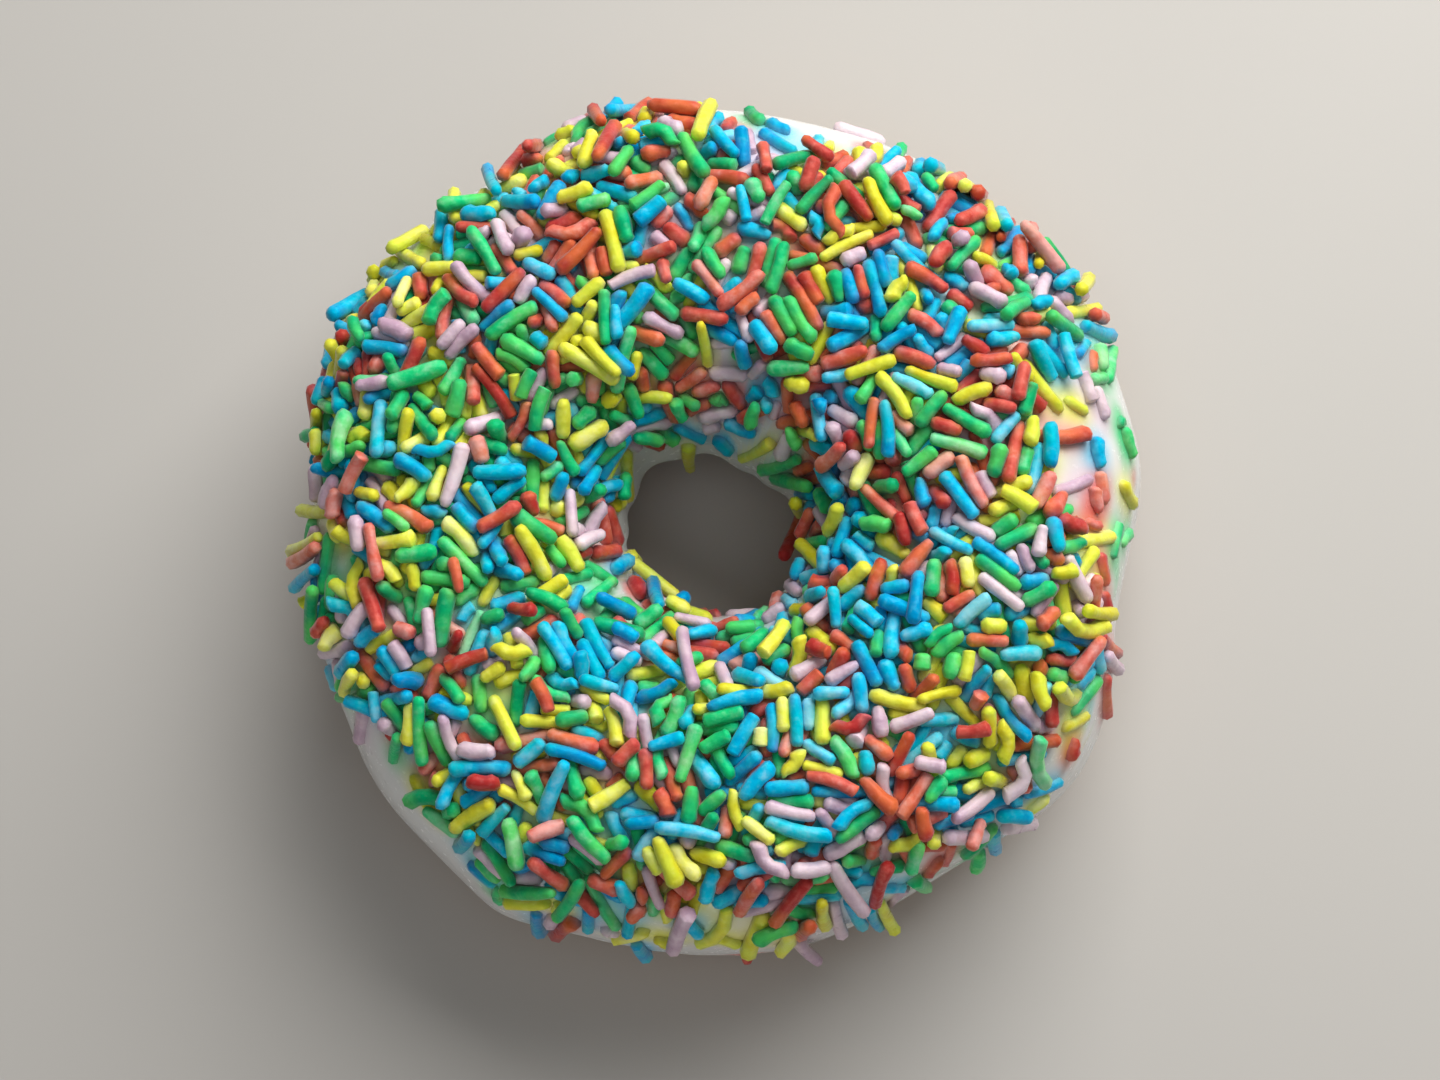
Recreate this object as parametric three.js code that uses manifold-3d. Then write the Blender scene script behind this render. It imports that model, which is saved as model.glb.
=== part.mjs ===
// A sprinkle frosted ring doughnut: a raised dough ring, a white icing cap dipped over its top half,
// and sugar strands (sprinkles) stuck into the icing. Millimetres, +Z up. The origin is on the table,
// under the middle of the outline. Two solids: the dough ring, and the icing with the strands fused on.
//
// Every surface is worked out in ring coordinates: "azimuth" runs anticlockwise round the hole from +X,
// "tilt" runs round the dough's section, 0 at its outermost line, a quarter turn at the crest, a half
// turn at the hole's neck, and "rise" is the height above the bare dough.

import * as THREE from "three";
import { mergeVertices } from "three/addons/utils/BufferGeometryUtils.js";
import Module from "manifold-3d";

const TURN = 2 * Math.PI;
const DEGREE = Math.PI / 180;

// ---- driving dimensions ----
const HOLE_X = -0.6; // the hole is a little off the middle of the outline
const HOLE_Y = -1.35;
const RING_RADIUS = 26.6; // from the hole's axis to the middle of the dough's section
const HALF_WIDTH = 16.2; // of the section, so the dough is 85.6 across with a 20.8 hole
const BELLY_HEIGHT = 13.5; // of the widest line above the table
const CROWN_RISE = 15.8; // of the crest above the widest line
const BASE_OVERSHOOT = 0.6; // how far the round base would reach below the table if it weren't flattened
const TOP_SQUARENESS = 2.2; // superellipse powers: 2 is an ellipse, more is fuller
const BASE_SQUARENESS = 2.6;

const ICING_THICKNESS = 1.7;
const EDGE_BEAD = 0.45; // the icing is this much thicker where it stopped running
const BEAD_WIDTH = 14; // degrees of tilt
const EDGE_FACE = 0.5; // the icing ends in a blunt face, this share of its thickness
const FIT_GAP = 0.4; // between the dough and the icing, which are separate solids
const OUTER_EDGE = -9; // the tilt where the icing ends on the outside, just under the widest line
const INNER_EDGE = 186; // and where it ends in the hole, just under the neck, in degrees
const STRAND_BED = 0.7; // the lower layer of strands, carried by the icing solid under the ones that show

const STRAND_RADIUS = 0.75;
const STRAND_LENGTHS = [6.2, 8.6]; // only the longest strands are made
const STRAND_SUNK = 0.4; // how deep a strand sits in the icing
const STRAND_SPACING = 5.9; // between neighbours and between rows
const STRAND_SCATTER = 0.5; // how far a strand may be off its place, as a share of the spacing
const SEED = 20;

// ---- facets ----
const RING_STEPS = 54;
const DOUGH_STEPS = 20; // round the dough's section
const ICING_TOP_STEPS = 12; // across the icing's outer face
const ICING_UNDER_STEPS = 12;
const STRAND_SIDES = 5;
const WELD = 1e-4; // vertices closer than this are one

// Uneven surfaces are sums of waves: [height in mm, waves round the ring, waves round the section, phase].
const CRUST_LUMPS = [
  [0.22, 5, 1, 0.6],
  [0.16, 9, 2, 1.9],
  [0.1, 14, -3, 0],
];
const ICING_RIPPLES = [
  [0.15, 7, 3, 0],
  [0.1, 12, -5, 0],
];
// Where the ring is out of round: [azimuth, half width of the bump, how far it stands out], degrees and mm.
const OUTLINE_BUMPS = [
  [41, 22, 2.5], // the full corner
  [43, 10, -1.0],
  [113, 26, 3.5], // the corner at the top, with
  [117, 12, -2.3], // a slight flat on it
  [168, 8, -0.9], // the flat left side
  [195, 27, -1.4], // the long straight edge that ends in
  [240, 6, 0.7], // the lower corner
  [279, 31, -1.1],
  [309, 20, -1.7],
  [325, 10, 1.6], // the corner at the lower right
  [347, 6, -1.0],
  [357, 9, -1.4],
];
// The same for the hole, where a bump widens it.
const NECK_BUMPS = [
  [63, 16, -0.8],
  [134, 31, 2.1],
  [197, 34, 1.1],
  [307, 23, 0.6],
  [356, 38, 1.6],
];
const CROWN_BUMPS = [
  [70, 40, 0.5],
  [150, 26, -0.5],
  [235, 34, -0.6],
  [320, 30, 0.4],
];
// How much lower than usual the icing ran, in degrees of tilt.
const OUTER_DRIPS = [
  [28, 11, 8],
  [86, 8, -5],
  [133, 9, 10],
  [184, 12, -5],
  [228, 9, 9],
  [262, 7, -5],
  [301, 10, 11],
];
const INNER_DRIPS = [
  [20, 22, 9],
  [95, 14, -6],
  [150, 16, 8],
  [250, 20, 10],
];
// Where the strands lie thickly, and the wider stretch where they lie thinly, from a tilt on the outside to
// one in the hole. Each is a usual tilt, changed by [azimuth, half width, change], all in degrees.
const THICK_START = 26;
const THICK_START_CHANGES = [
  [0, 16, 16], // the thinly covered right side
  [20, 14, 26],
  [34, 5, -30],
  [77, 11, 30], // the patch at the top
  [106, 7, -20],
  [152, 14, -14], // strands right down the left side
  [183, 8, -6],
  [219, 20, 25], // the wide bare band at the lower left
  [255, 6, 8],
  [297, 12, 10],
  [335, 12, 6],
];
const THICK_END = 178;
const THICK_END_CHANGES = [
  [70, 60, -20],
  [325, 28, -18],
];
const THIN_START = -4;
const THIN_START_CHANGES = [[222, 22, 34]];
const THIN_END = 188;
const THIN_SHARE = 0.12; // of the thick pile's strands
const COVER_BORDER = 12; // degrees of tilt over which the strands thin out

/** The sum at an azimuth of smooth bumps, each [azimuth, half width, height], the first two in degrees. */
function bumps(list, azimuth) {
  let sum = 0;
  for (const [centre, halfWidth, height] of list) {
    const away = Math.atan2(Math.sin(azimuth - centre * DEGREE), Math.cos(azimuth - centre * DEGREE));
    sum += height * Math.exp(-((away / (halfWidth * DEGREE)) ** 2));
  }
  return sum;
}

/** The sum at a place of the waves in a list, in mm. */
function waves(list, azimuth, tilt) {
  let sum = 0;
  for (const [height, round, across, phase] of list) {
    sum += height * Math.sin(round * azimuth + across * tilt + phase);
  }
  return sum;
}

/** From the section's middle to the dough's surface: a superellipse with its foot cut flat. */
function doughReach(azimuth, tilt) {
  const across = Math.cos(tilt);
  const up = Math.sin(tilt);
  const width = HALF_WIDTH + (across > 0 ? bumps(OUTLINE_BUMPS, azimuth) : -bumps(NECK_BUMPS, azimuth));
  const height = up > 0 ? CROWN_RISE + bumps(CROWN_BUMPS, azimuth) : BELLY_HEIGHT + BASE_OVERSHOOT;
  const power = up > 0 ? TOP_SQUARENESS : BASE_SQUARENESS;
  const round = (Math.abs(across / width) ** power + Math.abs(up / height) ** power) ** (-1 / power);
  const reach = round + waves(CRUST_LUMPS, azimuth, tilt);
  return up < 0 ? Math.min(reach, BELLY_HEIGHT / -up) : reach;
}

/** A point a given rise above the dough. */
function ringPoint(azimuth, tilt, rise) {
  const reach = doughReach(azimuth, tilt) + rise;
  const radius = RING_RADIUS + reach * Math.cos(tilt);
  return new THREE.Vector3(
    HOLE_X + radius * Math.cos(azimuth),
    HOLE_Y + radius * Math.sin(azimuth),
    BELLY_HEIGHT + reach * Math.sin(tilt),
  );
}

const outerEdge = (azimuth) => (OUTER_EDGE - bumps(OUTER_DRIPS, azimuth)) * DEGREE;
const innerEdge = (azimuth) => (INNER_EDGE + bumps(INNER_DRIPS, azimuth)) * DEGREE;

/** The icing's thickness, thicker beside its two edges and slightly uneven. */
function icingThickness(azimuth, tilt) {
  const fromEdge = Math.min(tilt - outerEdge(azimuth), innerEdge(azimuth) - tilt);
  const bead = EDGE_BEAD * Math.exp(-((fromEdge / (BEAD_WIDTH * DEGREE)) ** 2));
  return ICING_THICKNESS + bead + waves(ICING_RIPPLES, azimuth, tilt);
}

/** 1 between two tilts and 0 outside them, with a soft border inside each. */
function between(tilt, start, end) {
  const { smoothstep } = THREE.MathUtils;
  const border = COVER_BORDER * DEGREE;
  return smoothstep(tilt, start, start + border) * (1 - smoothstep(tilt, end - border, end));
}

/** 1 where strands lie thickly, a small share where they lie thinly, and 0 where the icing is bare. */
function coverage(azimuth, tilt) {
  const thickStart = (THICK_START + bumps(THICK_START_CHANGES, azimuth)) * DEGREE;
  const thickEnd = (THICK_END + bumps(THICK_END_CHANGES, azimuth)) * DEGREE;
  const thinStart = (THIN_START + bumps(THIN_START_CHANGES, azimuth)) * DEGREE;
  const thick = between(tilt, thickStart, thickEnd);
  return Math.max(thick, THIN_SHARE * between(tilt, thinStart, THIN_END * DEGREE));
}

/** The rise of the icing solid's outer face. */
function icingRise(azimuth, tilt) {
  return icingThickness(azimuth, tilt) + STRAND_BED * coverage(azimuth, tilt);
}

/** A closed ring: a torus with each vertex moved to pointAt(azimuth, share of the way round the section). */
function ringGeometry(sectionSteps, pointAt) {
  const geometry = new THREE.TorusGeometry(RING_RADIUS, HALF_WIDTH, sectionSteps, RING_STEPS);
  const { position, uv } = geometry.attributes;
  for (let i = 0; i < position.count; i++) {
    const azimuth = (uv.getX(i) % 1) * TURN;
    const point = pointAt(azimuth, uv.getY(i) % 1);
    position.setXYZ(i, point.x, point.y, point.z);
  }
  return geometry;
}

function doughGeometry() {
  return ringGeometry(DOUGH_STEPS, (azimuth, share) => ringPoint(azimuth, share * TURN, 0));
}

/** The section runs from its outer edge over the crest to its inner edge, then back along the dough. */
function icingGeometry() {
  const steps = ICING_TOP_STEPS + ICING_UNDER_STEPS + 2;
  return ringGeometry(steps, (azimuth, share) => {
    const step = Math.round(share * steps);
    const from = outerEdge(azimuth);
    const to = innerEdge(azimuth);
    if (step <= ICING_TOP_STEPS) {
      const tilt = THREE.MathUtils.lerp(from, to, step / ICING_TOP_STEPS);
      const isEdge = step === 0 || step === ICING_TOP_STEPS;
      return ringPoint(azimuth, tilt, icingRise(azimuth, tilt) * (isEdge ? EDGE_FACE : 1));
    }
    const back = (step - ICING_TOP_STEPS - 1) / ICING_UNDER_STEPS;
    return ringPoint(azimuth, THREE.MathUtils.lerp(to, from, back), FIT_GAP);
  });
}

/** A geometry as a manifold-3d solid: only positions, with shared vertices merged and slivers dropped. */
function solidOf(wasm, geometry) {
  const bare = new THREE.BufferGeometry();
  bare.setAttribute("position", geometry.getAttribute("position").clone());
  bare.setIndex(geometry.getIndex());
  const merged = mergeVertices(bare, WELD);
  const corners = merged.getIndex().array;
  const kept = [];
  for (let i = 0; i < corners.length; i += 3) {
    const [a, b, c] = corners.slice(i, i + 3);
    if (a !== b && b !== c && c !== a) kept.push(a, b, c);
  }
  const vertProperties = merged.getAttribute("position").array;
  return new wasm.Manifold(new wasm.Mesh({ numProp: 3, vertProperties, triVerts: new Uint32Array(kept) }));
}

/** A manifold-3d solid as a geometry. */
function geometryOf(solid) {
  const mesh = solid.getMesh();
  const geometry = new THREE.BufferGeometry();
  geometry.setAttribute("position", new THREE.BufferAttribute(mesh.vertProperties, 3));
  geometry.setIndex(new THREE.BufferAttribute(mesh.triVerts, 1));
  geometry.computeVertexNormals();
  return geometry;
}

/** The largest connected surface of a solid, which fills its sealed hollows and drops loose scraps. */
function onePiece(solid) {
  return solid.decompose().reduce((largest, piece) => (piece.volume() > largest.volume() ? piece : largest));
}

/** A seeded source of numbers from 0 to 1 (mulberry32). */
function seeded(seed) {
  let state = seed;
  return () => {
    state = (state + 0x6d2b79f5) | 0;
    let mixed = Math.imul(state ^ (state >>> 15), 1 | state);
    mixed = (mixed + Math.imul(mixed ^ (mixed >>> 7), 61 | mixed)) ^ mixed;
    return ((mixed ^ (mixed >>> 14)) >>> 0) / 4294967296;
  };
}

/** The matrix of a strand that lies on the icing at a place, turned to a heading in the surface. */
function strandMatrix(azimuth, tilt, heading) {
  const rise = icingRise(azimuth, tilt) + STRAND_RADIUS - STRAND_SUNK;
  const nearby = 0.02; // radians, to find the surface's two directions
  const place = ringPoint(azimuth, tilt, rise);
  const along = ringPoint(azimuth + nearby, tilt, rise).sub(place).normalize();
  const up = ringPoint(azimuth, tilt + nearby, rise).sub(place).normalize();
  const normal = along.clone().cross(up).normalize();
  const axis = along.applyAxisAngle(normal, heading);
  const side = axis.clone().cross(normal);
  return new THREE.Matrix4().makeBasis(side, axis, normal).setPosition(place);
}

/** The longest strands, in staggered rows round the ring, each with its own place, heading and length. */
function strandGeometries() {
  const random = seeded(SEED);
  const strands = [];
  const sectionArc = HALF_WIDTH * Math.PI;
  const rows = Math.round(sectionArc / STRAND_SPACING);
  const scatter = () => STRAND_SCATTER * (random() - 0.5);
  for (let row = 0; row < rows; row++) {
    const rowTilt = ((row + 0.5) / rows) * Math.PI;
    const rowRadius = RING_RADIUS + HALF_WIDTH * Math.cos(rowTilt);
    const count = Math.round((TURN * rowRadius) / STRAND_SPACING);
    for (let i = 0; i < count; i++) {
      const azimuth = ((i + 0.5 * (row % 2) + scatter()) / count) * TURN;
      const tilt = rowTilt + (scatter() / rows) * Math.PI;
      const heading = random() * Math.PI;
      const length = THREE.MathUtils.lerp(...STRAND_LENGTHS, random());
      if (random() > coverage(azimuth, tilt)) continue;
      const straight = length - 2 * STRAND_RADIUS;
      const strand = new THREE.CapsuleGeometry(STRAND_RADIUS, straight, 1, STRAND_SIDES, 1);
      strands.push(strand.applyMatrix4(strandMatrix(azimuth, tilt, heading)));
    }
  }
  return strands;
}

const wasm = await Module();
wasm.setup();

const icing = solidOf(wasm, icingGeometry());
const strands = strandGeometries().map((geometry) => solidOf(wasm, geometry));
const frosting = onePiece(wasm.Manifold.union([icing, ...strands]));

const doughMaterial = new THREE.MeshStandardMaterial({ color: 0xc2813f, roughness: 0.75, metalness: 0 });
const icingMaterial = new THREE.MeshStandardMaterial({ color: 0xeeeae6, roughness: 0.4, metalness: 0 });

const dough = new THREE.Mesh(doughGeometry(), doughMaterial);
dough.name = "dough_ring";

const cap = new THREE.Mesh(geometryOf(frosting), icingMaterial);
cap.name = "icing_with_sprinkles";

const doughnut = new THREE.Group();
doughnut.add(dough, cap);

export default doughnut;
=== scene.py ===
"""The looks of a sprinkle frosted ring doughnut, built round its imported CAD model.

Sizes are in millimetres until a mesh is written, and places on the ring are in ring coordinates: azimuth
runs anticlockwise from +X, tilt runs round the dough's section (0 at its outermost line, a quarter turn
at the crest, a half turn at the hole's neck), and rise is the height above the bare dough.
"""

import logging
import math
from dataclasses import dataclass, field, fields
from enum import Enum
from typing import Sequence

import bpy
import numpy as np
from mathutils import Matrix, Vector


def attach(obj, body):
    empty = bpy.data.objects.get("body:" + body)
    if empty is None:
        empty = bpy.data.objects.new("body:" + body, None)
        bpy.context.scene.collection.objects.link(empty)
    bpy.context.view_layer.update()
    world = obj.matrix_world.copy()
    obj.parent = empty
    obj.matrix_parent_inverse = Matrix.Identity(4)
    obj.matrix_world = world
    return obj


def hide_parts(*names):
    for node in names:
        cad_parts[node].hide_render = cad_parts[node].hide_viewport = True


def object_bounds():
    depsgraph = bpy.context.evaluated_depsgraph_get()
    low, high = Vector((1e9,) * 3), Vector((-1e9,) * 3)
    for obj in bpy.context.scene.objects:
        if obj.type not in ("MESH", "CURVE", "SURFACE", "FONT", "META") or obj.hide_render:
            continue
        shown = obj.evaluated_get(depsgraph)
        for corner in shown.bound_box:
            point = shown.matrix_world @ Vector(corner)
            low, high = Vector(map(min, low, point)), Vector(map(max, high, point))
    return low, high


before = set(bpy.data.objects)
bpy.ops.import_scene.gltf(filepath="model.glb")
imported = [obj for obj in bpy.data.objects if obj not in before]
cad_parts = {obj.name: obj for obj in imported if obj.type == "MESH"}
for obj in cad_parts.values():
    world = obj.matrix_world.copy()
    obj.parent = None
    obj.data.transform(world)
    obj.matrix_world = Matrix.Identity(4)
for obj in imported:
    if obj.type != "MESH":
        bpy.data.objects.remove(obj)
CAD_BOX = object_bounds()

Array = np.ndarray
Colour = tuple[float, float, float]
LOG = logging.getLogger("doughnut")
MM = 0.001
DEGREE = math.pi / 180
TURN = 2 * math.pi
HEADROOM = 0.1  # how far the highest strands may stand above the solid model, in mm
FAINT = 1e-6  # the least strength, gap or slant that anything is divided by
TINY = 1e-9  # the shortest length that a vector is divided by


# ---- numbers on arrays ----


def smoothstep(value: Array, low: float | Array, high: float | Array) -> Array:
    """A smooth step: 0 below low, 1 above high, and 3t^2 - 2t^3 between them."""
    share = np.clip((value - low) / (high - low), 0.0, 1.0)
    return share * share * (3 - 2 * share)


def bell(away: Array, width: Array | float) -> Array:
    """A bell-shaped fall: exp(-(away / width)^2)."""
    return np.exp(-((away / width) ** 2))


def unit(vectors: Array) -> Array:
    """Each vector divided by its length."""
    return vectors / np.maximum(np.linalg.norm(vectors, axis=-1, keepdims=True), TINY)


def dot(first: Array, second: Array) -> Array:
    """The dot product of each pair of vectors."""
    return np.einsum("...i,...i->...", first, second)


@dataclass(frozen=True)
class Noise:
    """Smooth noise on a grid that closes on itself both ways.

    A lattice of random numbers from -1 to 1 lies over the grid, with a number of cells each way, and each
    grid point reads the four lattice points round it with smooth steps as their weights, times the height.
    """

    height: float
    cells: tuple[int, int]

    def on(self, shape: tuple[int, int], random: np.random.Generator) -> Array:
        """The noise on a grid of a shape, from the source's next numbers.

        Args:
            shape: the grid's points each way.
            random: where the numbers come from.

        Returns:
            The noise at the grid's points.
        """
        noise = random.uniform(-1, 1, self.cells)
        for axis in (0, 1):
            place = np.arange(shape[axis]) * self.cells[axis] / shape[axis]
            below = np.floor(place).astype(int)
            share = smoothstep(place - below, 0.0, 1.0)
            share = share[:, None] if axis == 0 else share[None, :]
            near = np.take(noise, below, axis=axis)
            far = np.take(noise, (below + 1) % self.cells[axis], axis=axis)
            noise = near * (1 - share) + far * share
        return self.height * noise


# ---- the form of the ring ----


@dataclass(frozen=True)
class Bump:
    """A smooth bump along the ring: where it is, how wide it is to either side, and its height."""

    azimuth: float
    half_width: float
    height: float


@dataclass(frozen=True)
class Wave:
    """A wave on the ring: its height, its repeats round the ring and round the section, and its phase."""

    height: float
    round: int
    across: int
    phase: float = 0.0


def bumps(features: Sequence[Bump], azimuth: Array) -> Array:
    """The sum of height * exp(-(angle away / half width)^2) over the features.

    Args:
        features: the bumps along the ring.
        azimuth: where their sum is wanted.

    Returns:
        The sum at each azimuth.
    """
    total = np.zeros(np.shape(azimuth))
    for bump in features:
        away = np.abs((azimuth / DEGREE - bump.azimuth + 180) % 360 - 180)
        total += bump.height * bell(away, bump.half_width)
    return total


def waves(features: Sequence[Wave], azimuth: Array, tilt: Array | float = 0.0) -> Array:
    """The sum of height * sin(round * azimuth + across * tilt + phase) over the features."""
    return sum(w.height * np.sin(w.round * azimuth + w.across * tilt + w.phase) for w in features)


@dataclass(frozen=True)
class RingForm:
    """The doughnut's main form, which repeats the solid model's named values.

    Lengths are in mm. Where the icing and the strands start and end, and how that changes along the ring,
    is in degrees of tilt.
    """

    hole: tuple[float, float] = (-0.6, -1.35)
    ring_radius: float = 26.6
    half_width: float = 16.2
    belly_height: float = 13.5
    crown_rise: float = 15.8
    base_overshoot: float = 0.6
    top_squareness: float = 2.2
    base_squareness: float = 2.6
    base_crease: float = 0.35
    base_ease: float = 0.02
    base_slope: float = 0.05
    icing: float = 1.7
    edge_bead: float = 0.45
    bead_width: float = 14 * DEGREE
    outer_edge_tilt: float = -9
    inner_edge_tilt: float = 186
    thick_start: float = 26
    thick_end: float = 178
    thin_start: float = -4
    thin_end: float = 188
    thin_share: float = 0.12
    cover_border: float = 12 * DEGREE
    probe: float = 0.05
    least_steepness: float = 0.3
    outline: tuple[Bump, ...] = (
        Bump(41, 22, 2.5), Bump(43, 10, -1.0), Bump(113, 26, 3.5), Bump(117, 12, -2.3),
        Bump(168, 8, -0.9), Bump(195, 27, -1.4), Bump(240, 6, 0.7), Bump(279, 31, -1.1),
        Bump(309, 20, -1.7), Bump(325, 10, 1.6), Bump(347, 6, -1.0), Bump(357, 9, -1.4),
    )
    neck: tuple[Bump, ...] = (
        Bump(63, 16, -0.8), Bump(134, 31, 2.1), Bump(197, 34, 1.1), Bump(307, 23, 0.6),
        Bump(356, 38, 1.6),
    )
    crown: tuple[Bump, ...] = (
        Bump(70, 40, 0.5), Bump(150, 26, -0.5), Bump(235, 34, -0.6), Bump(320, 30, 0.4),
    )
    outer_drips: tuple[Bump, ...] = (
        Bump(28, 11, 8), Bump(86, 8, -5), Bump(133, 9, 10), Bump(184, 12, -5), Bump(228, 9, 9),
        Bump(262, 7, -5), Bump(301, 10, 11),
    )
    inner_drips: tuple[Bump, ...] = (
        Bump(20, 22, 9), Bump(95, 14, -6), Bump(150, 16, 8), Bump(250, 20, 10),
    )
    thick_start_changes: tuple[Bump, ...] = (
        Bump(0, 16, 16), Bump(20, 14, 26), Bump(34, 5, -30), Bump(77, 11, 30), Bump(106, 7, -20),
        Bump(152, 14, -14), Bump(183, 8, -6), Bump(219, 20, 25), Bump(255, 6, 8), Bump(297, 12, 10),
        Bump(335, 12, 6),
    )
    thick_end_changes: tuple[Bump, ...] = (Bump(70, 60, -20), Bump(325, 28, -18))
    thin_start_changes: tuple[Bump, ...] = (Bump(222, 22, 34),)
    crust_lumps: tuple[Wave, ...] = (Wave(0.22, 5, 1, 0.6), Wave(0.16, 9, 2, 1.9), Wave(0.1, 14, -3))
    icing_ripples: tuple[Wave, ...] = (Wave(0.15, 7, 3), Wave(0.1, 12, -5))

    def dough_reach(self, azimuth: Array, tilt: Array) -> Array:
        """From the section's middle to the dough: a superellipse with low lumps and its foot cut flat.

        The superellipse's reach is (|cos / width|^p + |sin / height|^p)^(-1/p), with its own height and
        power above and below the widest line. The cut is a smooth minimum with belly height / -sin.

        Args:
            azimuth: the azimuths.
            tilt: the tilts.

        Returns:
            The reach at each, in mm.
        """
        across, up = np.cos(tilt), np.sin(tilt)
        stretch = np.where(across > 0, bumps(self.outline, azimuth), -bumps(self.neck, azimuth))
        width = self.half_width + stretch
        top = self.crown_rise + bumps(self.crown, azimuth)
        height = np.where(up > 0, top, self.belly_height + self.base_overshoot)
        power = np.where(up > 0, self.top_squareness, self.base_squareness)
        reach = (np.abs(across / width) ** power + np.abs(up / height) ** power) ** (-1 / power)
        reach = reach + waves(self.crust_lumps, azimuth, tilt)
        flat = self.belly_height / np.maximum(-up, self.base_slope)
        lower = reach - flat
        cut = 0.5 * (reach + flat - np.sqrt(lower**2 + self.base_crease**2)) + self.base_ease
        return np.where(up < -self.base_slope, np.minimum(np.minimum(reach, cut), flat), reach)

    def point(self, azimuth: Array, tilt: Array, rise: Array | float) -> Array:
        """The points a given rise above the dough.

        Args:
            azimuth: the azimuths.
            tilt: the tilts.
            rise: the height above the dough, in mm.

        Returns:
            The points, as rows.
        """
        reach = self.dough_reach(azimuth, tilt) + rise
        radius = self.ring_radius + reach * np.cos(tilt)
        height = self.belly_height + reach * np.sin(tilt)
        x, y = self.hole
        return np.stack([x + radius * np.cos(azimuth), y + radius * np.sin(azimuth), height], axis=-1)

    def outer_edge(self, azimuth: Array) -> Array:
        """The tilt where the icing ends on the outside."""
        return (self.outer_edge_tilt - bumps(self.outer_drips, azimuth)) * DEGREE

    def inner_edge(self, azimuth: Array) -> Array:
        """The tilt where the icing ends in the hole."""
        return (self.inner_edge_tilt + bumps(self.inner_drips, azimuth)) * DEGREE

    def icing_thickness(self, azimuth: Array, tilt: Array) -> Array:
        """The icing's thickness: an even skin with a bead beside its edges and low ripples.

        Args:
            azimuth: the azimuths.
            tilt: the tilts.

        Returns:
            The thickness at each, in mm.
        """
        from_edge = np.minimum(tilt - self.outer_edge(azimuth), self.inner_edge(azimuth) - tilt)
        bead = self.edge_bead * bell(from_edge, self.bead_width)
        return self.icing + bead + waves(self.icing_ripples, azimuth, tilt)

    def coverage(self, azimuth: Array, tilt: Array) -> Array:
        """1 where strands lie thickly, a small share where they lie thinly, and 0 on bare icing.

        Args:
            azimuth: the azimuths.
            tilt: the tilts.

        Returns:
            The cover at each.
        """
        thick_start = (self.thick_start + bumps(self.thick_start_changes, azimuth)) * DEGREE
        thick_end = (self.thick_end + bumps(self.thick_end_changes, azimuth)) * DEGREE
        thin_start = (self.thin_start + bumps(self.thin_start_changes, azimuth)) * DEGREE
        thick = self._between(tilt, thick_start, thick_end)
        return np.maximum(thick, self.thin_share * self._between(tilt, thin_start, self.thin_end * DEGREE))

    def _between(self, tilt: Array, start: Array, end: Array | float) -> Array:
        """1 between two tilts and 0 outside them, with the cover's soft border inside each."""
        border = self.cover_border
        return smoothstep(tilt, start, start + border) * (1 - smoothstep(tilt, end - border, end))

    def is_thin(self, azimuth: Array, tilt: Array) -> Array:
        """Where the strands are no pile, because they lie less than half as thickly as they can."""
        return self.coverage(azimuth, tilt) < 0.5

    def place(self, points: Array) -> tuple[Array, Array, Array]:
        """The azimuth, tilt (from -90 to 270 degrees) and reach of points.

        Args:
            points: the points, as rows.

        Returns:
            The three arrays.
        """
        x, y = points[..., 0] - self.hole[0], points[..., 1] - self.hole[1]
        azimuth = np.arctan2(y, x)
        across = np.hypot(x, y) - self.ring_radius
        up = points[..., 2] - self.belly_height
        tilt = (np.arctan2(up, across) + math.pi / 2) % TURN - math.pi / 2
        return azimuth, tilt, np.hypot(across, up)

    def above_icing(self, points: Array) -> tuple[Array, Array]:
        """How high points are above the icing, and the direction straight away from it.

        The height is F / |gradient of F|, where F is a point's reach less the icing's reach at its
        azimuth and tilt, and the gradient comes from small steps along X, Y and Z.

        Args:
            points: the points, as rows.

        Returns:
            The heights in mm, and the directions.
        """
        moves = np.concatenate([np.zeros((1, 3)), self.probe * np.eye(3)])
        azimuth, tilt, reach = self.place(points[None] + moves[:, None])
        over = reach - self.dough_reach(azimuth, tilt) - self.icing_thickness(azimuth, tilt)
        slope = np.moveaxis(over[1:] - over[:1], 0, -1) / self.probe
        steepness = np.maximum(np.linalg.norm(slope, axis=-1), self.least_steepness)
        return over[0] / steepness, slope / steepness[..., None]


FORM = RingForm()


# ---- meshes ----


def grid_faces(rows: int, columns: int) -> Array:
    """The four-sided faces of a grid that closes on itself both ways, wound anticlockwise.

    Args:
        rows: the grid's points one way.
        columns: its points the other way.

    Returns:
        The faces, as rows of four.
    """
    index = np.arange(rows * columns).reshape(rows, columns)
    ahead, beside = np.roll(index, -1, axis=0), np.roll(index, -1, axis=1)
    both = np.roll(ahead, -1, axis=1)
    return np.stack([index, ahead, both, beside], axis=-1).reshape(-1, 4)


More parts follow.
